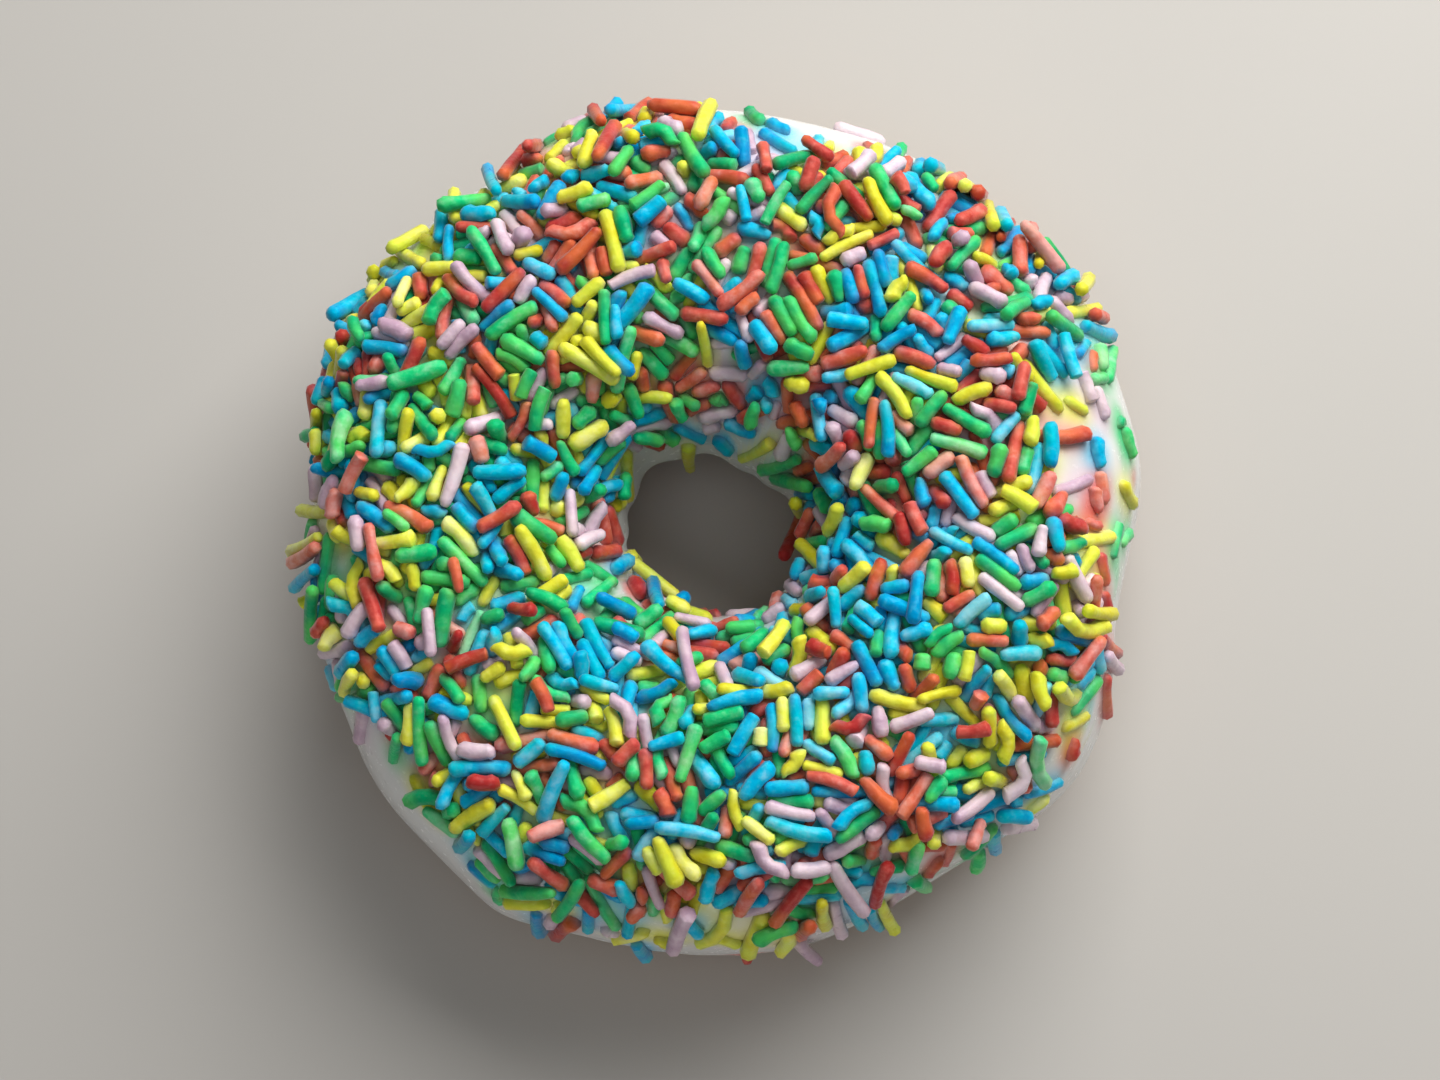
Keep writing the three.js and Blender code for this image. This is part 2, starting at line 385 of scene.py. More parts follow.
def write_mesh(name: str, points: Array, faces: Sequence[Array]) -> bpy.types.Object:
    """A smooth-shaded object at the origin.

    Args:
        name: the piece's name.
        points: its vertices in millimetres, as rows of three.
        faces: arrays of faces, each array with one number of corners.

    Returns:
        The object, linked to the scene.
    """
    mesh = bpy.data.meshes.new(name)
    corners = np.concatenate([f.ravel() for f in faces]).astype(np.int32)
    sizes = np.concatenate([np.full(len(f), f.shape[1]) for f in faces]).astype(np.int32)
    mesh.vertices.add(len(points))
    mesh.vertices.foreach_set("co", (points * MM).astype(np.float32).ravel())
    mesh.loops.add(len(corners))
    mesh.loops.foreach_set("vertex_index", corners)
    mesh.polygons.add(len(sizes))
    mesh.polygons.foreach_set("loop_start", np.concatenate([[0], np.cumsum(sizes)[:-1]]).astype(np.int32))
    mesh.update(calc_edges=True)
    mesh.validate()
    mesh.polygons.foreach_set("use_smooth", np.ones(len(sizes), bool))
    piece = bpy.data.objects.new(name, mesh)
    bpy.context.scene.collection.objects.link(piece)
    return piece


def paint(piece: bpy.types.Object, name: str, values: Array) -> None:
    """Stores a number or a colour for each vertex, as an attribute that a material reads.

    Args:
        piece: the object.
        name: the attribute's name.
        values: one number for each vertex, or rows of red, green and blue.
    """
    if values.ndim == 1:
        attribute = piece.data.attributes.new(name, "FLOAT", "POINT")
        attribute.data.foreach_set("value", values.astype(np.float32))
        return
    attribute = piece.data.attributes.new(name, "FLOAT_COLOR", "POINT")
    rgba = np.concatenate([values, np.ones((len(values), 1))], axis=1)
    attribute.data.foreach_set("color", rgba.astype(np.float32).ravel())


# ---- materials ----


class Value:
    """A node's output in a material, which adds Math nodes where an expression uses it."""

    def __init__(self, nodes: "Nodes", socket: bpy.types.NodeSocket) -> None:
        """Wraps the socket of a node in the given material's nodes."""
        self.nodes = nodes
        self.socket = socket

    def _math(self, operation: str, first: object, second: object) -> "Value":
        """A Math node on two values."""
        return self.nodes.add("ShaderNodeMath", {"operation": operation}, {0: first, 1: second})

    def __add__(self, other: object) -> "Value":
        """self + other"""
        return self._math("ADD", self, other)

    __radd__ = __add__

    def __sub__(self, other: object) -> "Value":
        """self - other"""
        return self._math("SUBTRACT", self, other)

    def __rsub__(self, other: object) -> "Value":
        """other - self"""
        return self._math("SUBTRACT", other, self)

    def __mul__(self, other: object) -> "Value":
        """self * other"""
        return self._math("MULTIPLY", self, other)

    def sway(self, amount: float) -> "Value":
        """A noise's distance from its mean of 0.5, times an amount."""
        return (self - 0.5) * amount

    def step(self, low: float, high: float) -> "Value":
        """0 below low, 1 above high and a smooth step between them."""
        settings = {"interpolation_type": "SMOOTHSTEP"}
        return self.nodes.add("ShaderNodeMapRange", settings, {0: self, 1: low, 2: high})


class Nodes:
    """The nodes of one material, which ends in a Principled shader."""

    def __init__(self, name: str) -> None:
        """Makes the material and its shader.

        Args:
            name: the material's name.
        """
        self.material = bpy.data.materials.new(name)
        self.material.use_nodes = True
        self.tree = self.material.node_tree
        self.tree.nodes.clear()
        self.output = self.tree.nodes.new("ShaderNodeOutputMaterial")
        self.coordinates = self.add("ShaderNodeTexCoord", output="Object")

    def add(
        self, kind: str, settings: dict | None = None, sockets: dict | None = None, output: int | str = 0
    ) -> Value:
        """Adds a node.

        Args:
            kind: the node's type.
            settings: its properties, or a ramp's stops as {"stops": [(place, colour), ...]}.
            sockets: a number, colour or Value for each input, by its name or place.
            output: the name or place of the output that is wanted.

        Returns:
            That output.
        """
        node = self.tree.nodes.new(kind)
        for key, setting in (settings or {}).items():
            if key == "stops":
                self._set_stops(node.color_ramp, setting)
            else:
                setattr(node, key, setting)
        for key, value in (sockets or {}).items():
            if isinstance(value, Value):
                self.tree.links.new(value.socket, node.inputs[key])
            else:
                node.inputs[key].default_value = value
        return Value(self, node.outputs[output])

    @staticmethod
    def _set_stops(ramp: bpy.types.ColorRamp, stops: Sequence[tuple[float, Colour]]) -> None:
        """Gives a colour ramp its stops.

        Args:
            ramp: the ramp.
            stops: each stop's place and colour.
        """
        while len(ramp.elements) < len(stops):
            ramp.elements.new(1.0)
        for element, (place, colour) in zip(ramp.elements, stops):
            element.position = place
            element.color = (*colour, 1.0)

    def _pattern(self, kind: str, size: float, **inputs: float) -> Value:
        """A texture on the piece's own coordinates, with features of a size in mm."""
        sockets = {"Vector": self.coordinates, "Scale": 1 / (size * MM), **inputs}
        return self.add(kind, None, sockets)

    def noise(self, size: float, detail: float = 3.0, roughness: float = 0.5) -> Value:
        """Noise from about 0.25 to 0.75, with features of a size in mm."""
        return self._pattern("ShaderNodeTexNoise", size, Detail=detail, Roughness=roughness)

    def pits(self, size: float) -> Value:
        """The distance to the nearest of many scattered points that lie about a size in mm apart."""
        return self._pattern("ShaderNodeTexVoronoi", size)

    def mix(self, share: object, first: object, second: object, blend: str = "MIX") -> Value:
        """Two colours mixed by a share."""
        colours = {0: share, 6: self._rgba(first), 7: self._rgba(second)}
        return self.add("ShaderNodeMix", {"data_type": "RGBA", "blend_type": blend}, colours, output=2)

    @staticmethod
    def _rgba(colour: object) -> object:
        """A plain colour with its alpha, or a Value as it is."""
        return colour if isinstance(colour, Value) else (*colour, 1.0)

    def attribute(self, name: str, output: str = "Fac") -> Value:
        """An attribute of the piece."""
        return self.add("ShaderNodeAttribute", {"attribute_name": name}, output=output)

    def relief(self, *layers: tuple[Value, float]) -> Value:
        """A bumped normal, from layers that lie on each other.

        Args:
            layers: for each, the height from 0 to 1 and the depth in mm over which it runs.

        Returns:
            The normal.
        """
        below: dict[str, Value] = {}
        for height, depth in layers:
            sockets = {"Height": height, "Strength": 1.0, "Distance": depth * MM, **below}
            below = {"Normal": self.add("ShaderNodeBump", None, sockets, output="Normal")}
        return below["Normal"]

    def shade(self, varying: dict[str, Value], constant: dict[str, object]) -> bpy.types.Material:
        """Ends the material in a Principled shader.

        Args:
            varying: links for the inputs that change over the surface.
            constant: plain values for the others.

        Returns:
            The material.
        """
        surface = self.add("ShaderNodeBsdfPrincipled", None, {**constant, **varying})
        self.tree.links.new(surface.socket, self.output.inputs["Surface"])
        return self.material


@dataclass(frozen=True)
class Surface:
    """How a finish takes light: how rough it is, how far that sways, its shine, and what goes into it.

    A share of the light, the translucence, goes in. It goes as far as the depth in mm, times the spread's
    share for red, green and blue.
    """

    roughness: float
    sway: float
    specular: float
    translucence: float
    spread: Colour
    depth: float

    def material(
        self, nodes: Nodes, colour: Value, uneven: Value, *layers: tuple[Value, float], **others: object
    ) -> bpy.types.Material:
        """Ends a material.

        Args:
            nodes: the material's nodes.
            colour: its colour.
            uneven: the noise that its roughness sways with.
            layers: the layers of its relief.
            others: more plain values for the shader's inputs, by their names.

        Returns:
            The material.
        """
        varying = {
            "Base Color": colour,
            "Roughness": self.roughness + uneven.sway(self.sway),
            "Normal": nodes.relief(*layers),
        }
        constant = {
            "Specular IOR Level": self.specular,
            "Subsurface Weight": self.translucence,
            "Subsurface Radius": self.spread,
            "Subsurface Scale": self.depth * MM,
        }
        return nodes.shade(varying, {**constant, **others})


@dataclass(frozen=True)
class SugarFinish:
    """Pressed sugar: a satin, slightly translucent colour with a fine grain, and a pale painted highlight
    on its tops.

    The sizes and depths of its patterns are in mm, and steps are the values of a pattern between which
    what it lays on comes in.
    """

    name: str
    colour: Colour
    deep: Colour
    drift: Colour
    # the pale colour of bloomed sugar, which is also laid on the tops as a painted highlight
    pale_and_highlight_colour: Colour = (0.86, 0.84, 0.82)
    strand_sway: float = 0.75
    blotch_size: float = 1.6
    blotch_sway: float = 1.5
    grain_size: float = 0.26
    grain_sway: float = 0.4
    grain_depth: float = 0.04
    lump_size: float = 1.1
    lump_depth: float = 0.13
    drift_size: float = 4.5
    drift_steps: tuple[float, float] = (0.42, 0.68)
    drift_share: float = 0.6
    # painted highlight: the pale colour comes in where the tone is high, partly at random and partly on
    # faces that point up
    highlight_and_pale_steps: tuple[float, float] = (0.65, 1.5)
    highlight_and_pale_share: float = 0.3
    bloom_size: float = 0.8
    bloom_steps: tuple[float, float] = (0.5, 0.75)
    bloom_share: float = 0.05
    surface: Surface = Surface(
        roughness=0.34, sway=0.35, specular=0.38, translucence=0.16, spread=(1.0, 0.8, 0.6), depth=0.5
    )
    tint_power: float = 0.6
    sheen: float = 0.16
    sheen_roughness: float = 0.4

    def material(self) -> bpy.types.Material:
        """The colour sways between pale and deep by strand, in soft blotches, and as painted light.

        In places it drifts to another hue, as batches of dye differ. Faces that point up are painted paler,
        and the sides and undersides deeper, as painted light and shade. The pale colour lies on the upward
        tops as a painted highlight and in faint patches as sugar that has bloomed, and the smear attributes
        give what has rubbed off on it. The shine has a tint, which is the colour to the power of tint
        power, and a thin sheen of dust lies over it.

        Returns:
            The material.
        """
        nodes = Nodes(self.name)
        blotches = nodes.noise(self.blotch_size, detail=2.0)
        grain = nodes.noise(self.grain_size, roughness=0.6)
        # the tone attribute holds random tone and painted light: high on faces that point up, low on sides
        # and undersides, so tops come out paler and sides deeper
        share = nodes.attribute("tone_with_painted_light") * self.strand_sway + blotches.sway(self.blotch_sway)
        share = share + grain.sway(self.grain_sway) + 0.5
        colour = nodes.mix(share.step(0.0, 1.0), self.deep, self.colour)
        drift = nodes.noise(self.drift_size, detail=2.0).step(*self.drift_steps)
        colour = nodes.mix(drift * self.drift_share, colour, self.drift)
        # painted highlight on the upward tops, together with pale sugar where the tone is high at random
        colour = nodes.mix(share.step(*self.highlight_and_pale_steps) * self.highlight_and_pale_share, colour, self.pale_and_highlight_colour)
        patches = nodes.noise(self.bloom_size, roughness=0.6).step(*self.bloom_steps)
        colour = nodes.mix(patches * self.bloom_share, colour, self.pale_and_highlight_colour)
        smear = nodes.attribute("smear", output="Color")
        colour = nodes.mix(nodes.attribute("smear_share"), colour, smear)
        lumps = nodes.noise(self.lump_size, detail=1.0)
        layers = (grain, self.grain_depth), (lumps, self.lump_depth)
        shine = {
            "Specular Tint": (*(channel**self.tint_power for channel in self.colour), 1.0),
            "Sheen Weight": self.sheen,
            "Sheen Roughness": self.sheen_roughness,
        }
        return self.surface.material(nodes, colour, blotches, *layers, **shine)


@dataclass(frozen=True)
class IcingFinish:
    """Set fondant icing: white, satin, translucent, stained by what dissolves into it.

    The sizes and depths of its patterns are in mm, and steps are the values of a pattern between which it
    comes in.
    """

    name: str = "icing_finish"
    cloud: Colour = (0.93, 0.88, 0.86)
    cloud_size: float = 6.0
    cloud_steps: tuple[float, float] = (0.35, 0.7)
    cloud_share: float = 0.35
    skin_size: float = 0.9
    skin_depth: float = 0.02
    ripple_size: float = 3.2
    ripple_depth: float = 0.1
    bubble_spacing: float = 2.6
    bubble_steps: tuple[float, float] = (0.05, 0.16)
    bubble_depth: float = 0.03
    surface: Surface = Surface(
        roughness=0.24, sway=0.25, specular=0.5, translucence=0.35, spread=(1.0, 0.85, 0.75), depth=1.4
    )

    def material(self) -> bpy.types.Material:
        """The stain attribute gives the colour, with faint clouds, and a fine skin of ripples and pits.

        Returns:
            The material.
        """
        nodes = Nodes(self.name)
        clouds = nodes.noise(self.cloud_size).step(*self.cloud_steps)
        stain = nodes.attribute("stain", output="Color")
        skin = nodes.noise(self.skin_size, roughness=0.55)
        ripples = nodes.noise(self.ripple_size, detail=1.0)
        bubbles = nodes.pits(self.bubble_spacing).step(*self.bubble_steps)
        colour = nodes.mix(clouds * self.cloud_share, stain, self.cloud, "MULTIPLY")
        layers = (skin, self.skin_depth), (ripples, self.ripple_depth), (bubbles, self.bubble_depth)
        return self.surface.material(nodes, colour, skin, *layers)


@dataclass(frozen=True)
class CrustFinish:
    """Fried dough: golden brown where it lay in the oil and pale along the line between its sides.

    The sizes and depths of its patterns are in mm, and steps are the values of a pattern between which it
    comes in.
    """

    name: str = "crust_finish"
    stops: tuple[tuple[float, Colour], ...] = (
        (0.0, (0.80, 0.60, 0.33)),
        (0.3, (0.66, 0.38, 0.14)),
        (0.62, (0.46, 0.20, 0.055)),
        (1.0, (0.25, 0.09, 0.022)),
    )
    blotch_size: float = 9.0
    blotch_sway: float = 0.7
    freckle_size: float = 1.3
    freckle_sway: float = 0.45
    freckle_depth: float = 0.16
    pore_spacing: float = 1.5
    pore_steps: tuple[float, float] = (0.04, 0.4)
    pore_browning: float = 0.12
    pore_depth: float = 0.12
    grain_size: float = 0.45
    grain_depth: float = 0.06
    surface: Surface = Surface(
        roughness=0.58, sway=0.5, specular=0.4, translucence=0.12, spread=(1.0, 0.55, 0.3), depth=1.2
    )

    def material(self) -> bpy.types.Material:
        """The bake attribute runs along the colours, broken up by blotches, freckles and fine pores.

        Returns:
            The material.
        """
        nodes = Nodes(self.name)
        blotches = nodes.noise(self.blotch_size, detail=4.0, roughness=0.6)
        freckles = nodes.noise(self.freckle_size, detail=4.0, roughness=0.65)
        pores = nodes.pits(self.pore_spacing).step(*self.pore_steps)
        grain = nodes.noise(self.grain_size, detail=4.0, roughness=0.6)
        bake = nodes.attribute("bake") + blotches.sway(self.blotch_sway) + freckles.sway(self.freckle_sway)
        bake = bake + (1 - pores) * self.pore_browning
        colour = nodes.add("ShaderNodeValToRGB", {"stops": self.stops}, {0: bake}, output="Color")
        layers = (grain, self.grain_depth), (freckles, self.freckle_depth), (pores, self.pore_depth)
        return self.surface.material(nodes, colour, freckles, *layers)


# ---- the camera ----


@dataclass(frozen=True)
class Viewpoint:
    """Where the camera stands, and how the image's points meet the doughnut. Lengths are in mm."""

    azimuth: float = 30.0
    elevation: float = 80.0
    distance: float = 300.0
    field: float = 152.0
    aim: tuple[float, float, float] = (*FORM.hole, 15.0)
    centre: tuple[float, float] = (714.0, 536.0)
    width: int = 1440
    height: int = 1080
    sensor: float = 36.0
    search_before: float = 40.0
    search_past: float = 15.0
    search_step: float = 0.2

    @property
    def lens(self) -> float:
        """The focal length that shows the field at the camera's distance."""
        return self.sensor * self.distance / self.field

    def axes(self) -> tuple[Array, Array, Array]:
        """The directions to the image's right, up it, and from the doughnut to the camera.

        Up is +Y without its part along the line of sight.

        Returns:
            The three directions, of length 1.
        """
        turn, rise = self.azimuth * DEGREE, self.elevation * DEGREE
        level = math.cos(rise)
        back = np.array([math.sin(turn) * level, -math.cos(turn) * level, math.sin(rise)])
        up = unit(np.array([0.0, 1.0, 0.0]) - back[1] * back)
        return np.cross(up, back), up, back

    def eye(self) -> Array:
        """The camera's place, moved sideways so that the aim is seen at the stated image point.

        Returns:
            The place, in mm.
        """
        right, up, back = self.axes()
        point = self.field / self.width
        across = (self.width / 2 - self.centre[0]) * point
        down = (self.height / 2 - self.centre[1]) * point
        return np.array(self.aim) + back * self.distance + right * across - up * down

    def rays(self, spots: Array) -> Array:
        """The directions from the camera through image points.

        Args:
            spots: the image points, as rows.

        Returns:
            The directions, of length 1.
        """
        right, up, back = self.axes()
        across = (spots[:, :1] - self.width / 2) / self.width * self.field
        above = (self.height / 2 - spots[:, 1:2]) / self.width * self.field
        return unit(right * across + up * above - back * self.distance)

    def seen(self, form: RingForm, spots: Array, rise: Array | float = 0.0) -> Array:
        """Where the rays through image points come down to a rise above the icing, or pass nearest to it.

        Args:
            form: the ring that is looked at.
            spots: the image points, as rows.
            rise: the height above the icing that each ray looks for.

        Returns:
            A point on each ray: the first of the even steps along it that is low enough, or its lowest.
        """
        start, end = self.distance - self.search_before, self.distance + self.search_past
        along = self.rays(spots)[:, None] * np.arange(start, end, self.search_step)[None, :, None]
        along = self.eye() + along
        height, _ = form.above_icing(along.reshape(-1, 3))
        over = height.reshape(along.shape[:2]) - np.broadcast_to(rise, len(spots))[:, None]
        reached = np.where((over <= 0).any(axis=1), (over <= 0).argmax(axis=1), over.argmin(axis=1))
        return along[np.arange(len(along)), reached]


# ---- sprinkles ----


SIDE_SWAY = 0.2  # how much likelier a sugar is on its thickest side than elsewhere


class Sugar(Enum):
    """The colours of the sugar strands: a piece's name, the share of all strands, and the thickest side."""

    BLUE = ("sprinkles_blue", 0.26, 325)
    YELLOW = ("sprinkles_yellow", 0.175, 190)
    GREEN = ("sprinkles_green", 0.22, 150)
    RED = ("sprinkles_red", 0.215, 35)
    PINK = ("sprinkles_pink", 0.13, 300)

    @property
    def piece(self) -> str:
        """The name of the piece."""
        return self.value[0]

    def likely(self, azimuth: Array) -> Array:
        """How likely a strand is to have this colour: share * (1 + side sway * cos(azimuth - side))."""
        return self.value[1] * (1 + SIDE_SWAY * np.cos(azimuth - self.value[2] * DEGREE))


ICING_WHITE: Colour = (0.70, 0.71, 0.705)

SUGARS = {
    Sugar.BLUE: SugarFinish("blue_sugar", (0.0, 0.51, 0.77), (0.0, 0.25, 0.56), (0.0, 0.52, 0.52)),
    Sugar.YELLOW: SugarFinish("yellow_sugar", (0.80, 0.80, 0.075), (0.60, 0.55, 0.015), (0.60, 0.77, 0.07)),
    Sugar.GREEN: SugarFinish("green_sugar", (0.01, 0.56, 0.18), (0.0, 0.34, 0.13), (0.14, 0.66, 0.09)),
    Sugar.RED: SugarFinish("red_sugar", (0.64, 0.12, 0.088), (0.40, 0.025, 0.025), (0.70, 0.185, 0.045)),
    Sugar.PINK: SugarFinish("pink_sugar", (0.68, 0.53, 0.62), (0.46, 0.30, 0.41), (0.72, 0.58, 0.60)),
}
DYES = np.array([SUGARS[sugar].colour for sugar in Sugar])  # a row for each sugar, in order

# The strands that lie alone or stand out: the image points of their two ends, and for some a bend in mm.
STRAYS: dict[Sugar, tuple[tuple[float, ...], ...]] = {
    Sugar.BLUE: (
        (1095, 436, 1100, 470), (1072, 320, 1110, 341), (1050, 332, 1065, 374), (1017, 343, 1046, 360),
        (990, 339, 1026, 338), (996, 832, 996, 853), (860, 903, 881, 936), (623, 110, 614, 127),
        (640, 114, 638, 129), (707, 142, 736, 146), (760, 131, 796, 155), (766, 122, 790, 133),
        (667, 585, 667, 610), (342, 341, 333, 376), (440, 226, 438, 263), (322, 566, 291, 593),
        (369, 693, 411, 693), (462, 828, 499, 825), (540, 912, 541, 934), (631, 940, 647, 958),
        (838, 888, 879, 938), (1096, 668, 1078, 690), (1020, 797, 1060, 781), (371, 615, 350, 642),
        (1020, 261, 1010, 258), (1006, 234, 994, 216), (920, 160, 920, 176), (932, 187, 902, 182),
        (963, 218, 937, 229), (1065, 303, 1041, 292), (612, 121, 614, 151), (566, 164, 561, 176),
        (521, 173, 512, 189), (545, 173, 522, 185), (496, 183, 506, 194), (459, 210, 494, 200),
        (500, 200, 545, 205), (366, 310, 378, 320), (356, 323, 368, 336), (333, 421, 345, 434),
        (602, 892, 630, 914), (886, 888, 908, 886), (1022, 803, 1017, 795),
        (755, 415, 770, 430), (810, 412, 830, 425), (816, 464, 852, 486), (715, 436, 734, 454),
    ),
    Sugar.YELLOW: (
        (1121, 482, 1134, 507), (1079, 540, 1111, 540), (1046, 604, 1092, 643, 1.0), (1067, 611, 1090, 620),
        (1052, 569, 1083, 569), (1069, 260, 1038, 284), (1065, 276, 1093, 293), (1072, 296, 1103, 315),
        (1017, 360, 1058, 384), (1064, 398, 1088, 413), (1063, 725, 1088, 717), (1026, 813, 1048, 794),
        (877, 897, 898, 938), (699, 116, 703, 133), (778, 888, 731, 962), (688, 445, 690, 470),
        (442, 204, 466, 232), (399, 252, 414, 269), (383, 272, 359, 299), (399, 278, 400, 318),
        (336, 327, 345, 336), (316, 404, 354, 402), (299, 521, 317, 511), (321, 520, 339, 543),
        (290, 551, 328, 541), (288, 606, 310, 600), (351, 664, 352, 687), (413, 774, 433, 815),
        (437, 802, 455, 799), (503, 900, 549, 900), (621, 943, 647, 928, 0.8), (654, 938, 676, 943),
        (708, 902, 719, 951, -0.9), (815, 880, 820, 930), (787, 917, 782, 956, -0.9), (630, 462, 632, 500),
        (1063, 665, 1078, 697, 0.8), (483, 794, 464, 815),
        (998, 240, 976, 260), (997, 238, 983, 224), (989, 209, 976, 218), (968, 190, 959, 195),
        (938, 167, 933, 179), (586, 131, 588, 164), (579, 125, 574, 151), (555, 143, 574, 157),
        (623, 127, 633, 155), (560, 182, 596, 192), (554, 913, 562, 903),
        (745, 467, 766, 449), (782, 506, 824, 508), (816, 524, 844, 516),
    ),
    Sugar.GREEN: (
        (1122, 423, 1132, 455), (1119, 420, 1126, 430), (1121, 520, 1112, 561), (1131, 532, 1124, 545),
        (1053, 554, 1083, 554), (1113, 341, 1105, 386), (1024, 286, 1002, 322), (975, 872, 982, 851),
        (897, 871, 934, 889), (591, 112, 591, 125), (688, 122, 703, 170), (749, 112, 760, 125),
        (336, 701, 375, 682, 0.8), (400, 714, 402, 749), (425, 704, 413, 753), (586, 897, 611, 928),
        (340, 443, 365, 433), (322, 584, 316, 633), (356, 574, 382, 593), (893, 148, 908, 172),
        (635, 132, 670, 148, -0.8), (1035, 728, 1046, 765, 0.8),
        (929, 205, 906, 192), (352, 323, 363, 349), (325, 387, 339, 390), (320, 452, 338, 454),
        (521, 888, 554, 872), (559, 902, 569, 877), (964, 856, 992, 824),
        (785, 425, 802, 447), (746, 407, 746, 436), (677, 402, 695, 430), (695, 405, 712, 417),
        (785, 490, 807, 462), (765, 480, 785, 460),
    ),
    Sugar.RED: (
        (1037, 429, 1085, 436, 0.5), (1096, 554, 1105, 587), (1101, 593, 1109, 620), (1088, 584, 1091, 605),
        (1092, 486, 1099, 514), (1085, 521, 1101, 530), (1096, 643, 1117, 650), (1105, 677, 1107, 715),
        (1037, 537, 1071, 537), (1094, 351, 1094, 372), (1012, 221, 1020, 253), (1024, 222, 1034, 267),
        (977, 353, 1010, 382), (1075, 737, 1069, 760), (603, 122, 603, 183), (653, 112, 653, 127),
        (734, 120, 725, 133), (820, 168, 853, 157), (866, 142, 879, 155), (833, 175, 840, 227, 1.2),
        (797, 520, 775, 560), (389, 290, 350, 312), (344, 376, 365, 388), (319, 416, 308, 450),
        (376, 437, 337, 477), (336, 480, 317, 505), (291, 557, 337, 551), (437, 769, 439, 792),
        (455, 785, 490, 780), (575, 902, 554, 934), (750, 843, 748, 905), (805, 874, 777, 922),
        (802, 894, 804, 938), (889, 864, 869, 889), (744, 958, 751, 968),
        (983, 192, 964, 207), (957, 175, 943, 200), (900, 193, 869, 181), (1057, 311, 1032, 305),
        (1019, 278, 997, 262), (535, 162, 522, 158), (521, 160, 506, 180), (352, 354, 345, 376),
        (638, 907, 646, 924), (945, 866, 953, 841),
        (802, 492, 812, 470), (822, 460, 852, 432),
    ),
    Sugar.PINK: (
        (1101, 659, 1117, 664), (1064, 486, 1087, 486), (1043, 257, 1053, 267), (1017, 760, 994, 807, -1.2),
        (938, 821, 992, 811), (937, 834, 979, 828), (1002, 825, 1032, 823), (664, 114, 668, 138),
        (747, 129, 749, 157), (755, 159, 779, 164), (848, 172, 892, 164), (668, 630, 676, 700),
        (331, 465, 317, 502), (322, 657, 339, 645), (437, 714, 451, 767, 0.5), (452, 773, 492, 766),
        (478, 843, 508, 877), (654, 874, 658, 917), (690, 902, 684, 938), (795, 940, 819, 963),
        (830, 894, 844, 944), (829, 859, 860, 891), (762, 828, 784, 871, 0.9), (782, 855, 827, 857),
        (383, 303, 386, 327), (402, 327, 371, 347), (359, 603, 337, 636), (1096, 385, 1108, 420),
        (979, 245, 959, 228), (564, 123, 568, 129), (483, 218, 471, 236), (490, 219, 529, 239),
        (606, 925, 615, 933), (1014, 816, 1001, 815), (842, 469, 865, 442),
    ),
}


# Where strands have melted into the icing: the image point, how far the dye has run in mm, and the sugar.
MELTED: tuple[tuple[float, float, float, Sugar], ...] = (
    (1070, 325, 2.6, Sugar.BLUE), (1058, 350, 2.0, Sugar.BLUE), (497, 190, 2.2, Sugar.BLUE),
    (1087, 710, 1.6, Sugar.BLUE), (1128, 440, 2.0, Sugar.GREEN), (1116, 560, 2.2, Sugar.GREEN),
    (420, 250, 2.4, Sugar.GREEN), (1079, 300, 1.8, Sugar.YELLOW), (1072, 735, 2.4, Sugar.YELLOW),
    (1056, 698, 1.8, Sugar.YELLOW), (1070, 758, 1.5, Sugar.RED), (1095, 516, 1.7, Sugar.RED),
    (1133, 478, 1.0, Sugar.RED), (1108, 416, 2.0, Sugar.PINK), (765, 934, 3.4, Sugar.PINK),
    (820, 925, 2.4, Sugar.PINK),
)


GATHERED_RISE = 1.5  # how high over the icing the image points of GATHERED are looked up, in mm
CLEARED_RISE = 1.0  # the same for those of CLEARED

# Where strands of one sugar gather on the pile, as image points.
GATHERED: dict[Sugar, tuple[tuple[float, float], ...]] = {
    Sugar.BLUE: (
        (510, 200), (450, 250), (770, 140), (890, 265), (945, 315), (1060, 330), (800, 350), (850, 460),
        (855, 545), (350, 430), (365, 500), (370, 640), (600, 690), (640, 730), (700, 630), (840, 645),
        (690, 820), (1010, 730), (1030, 780), (850, 900), (1040, 450),
    ),
    Sugar.YELLOW: (
        (575, 280), (540, 490), (390, 560), (1055, 570), (1015, 500), (585, 145), (740, 930), (820, 280),
        (900, 720), (520, 655), (1080, 735),
    ),
    Sugar.GREEN: (
        (690, 160), (770, 235), (445, 550), (520, 570), (410, 725), (535, 700), (930, 785), (540, 885),
        (715, 730), (1040, 380), (600, 375), (915, 660),
    ),
    Sugar.RED: (
        (740, 285), (1035, 250), (970, 420), (925, 505), (970, 590), (780, 690), (965, 690), (450, 785),
        (610, 775), (890, 845), (795, 905), (620, 560), (485, 355), (1100, 500), (1110, 610), (820, 215),
    ),
    Sugar.PINK: ((755, 375), (450, 400), (865, 430), (820, 566), (484, 233)),
}

# Where few strands fell on the pile and the icing shows between them, as image points.
CLEARED: tuple[tuple[float, float], ...] = (
    (505, 225), (440, 255), (390, 328), (435, 372), (455, 412), (340, 560), (360, 640), (450, 735),
    (520, 745), (565, 165), (650, 150), (750, 150), (725, 235), (930, 240), (985, 335), (1055, 480),
    (945, 620), (1060, 690), (985, 745), (905, 725), (850, 855), (935, 860), (690, 690), (600, 880),
)


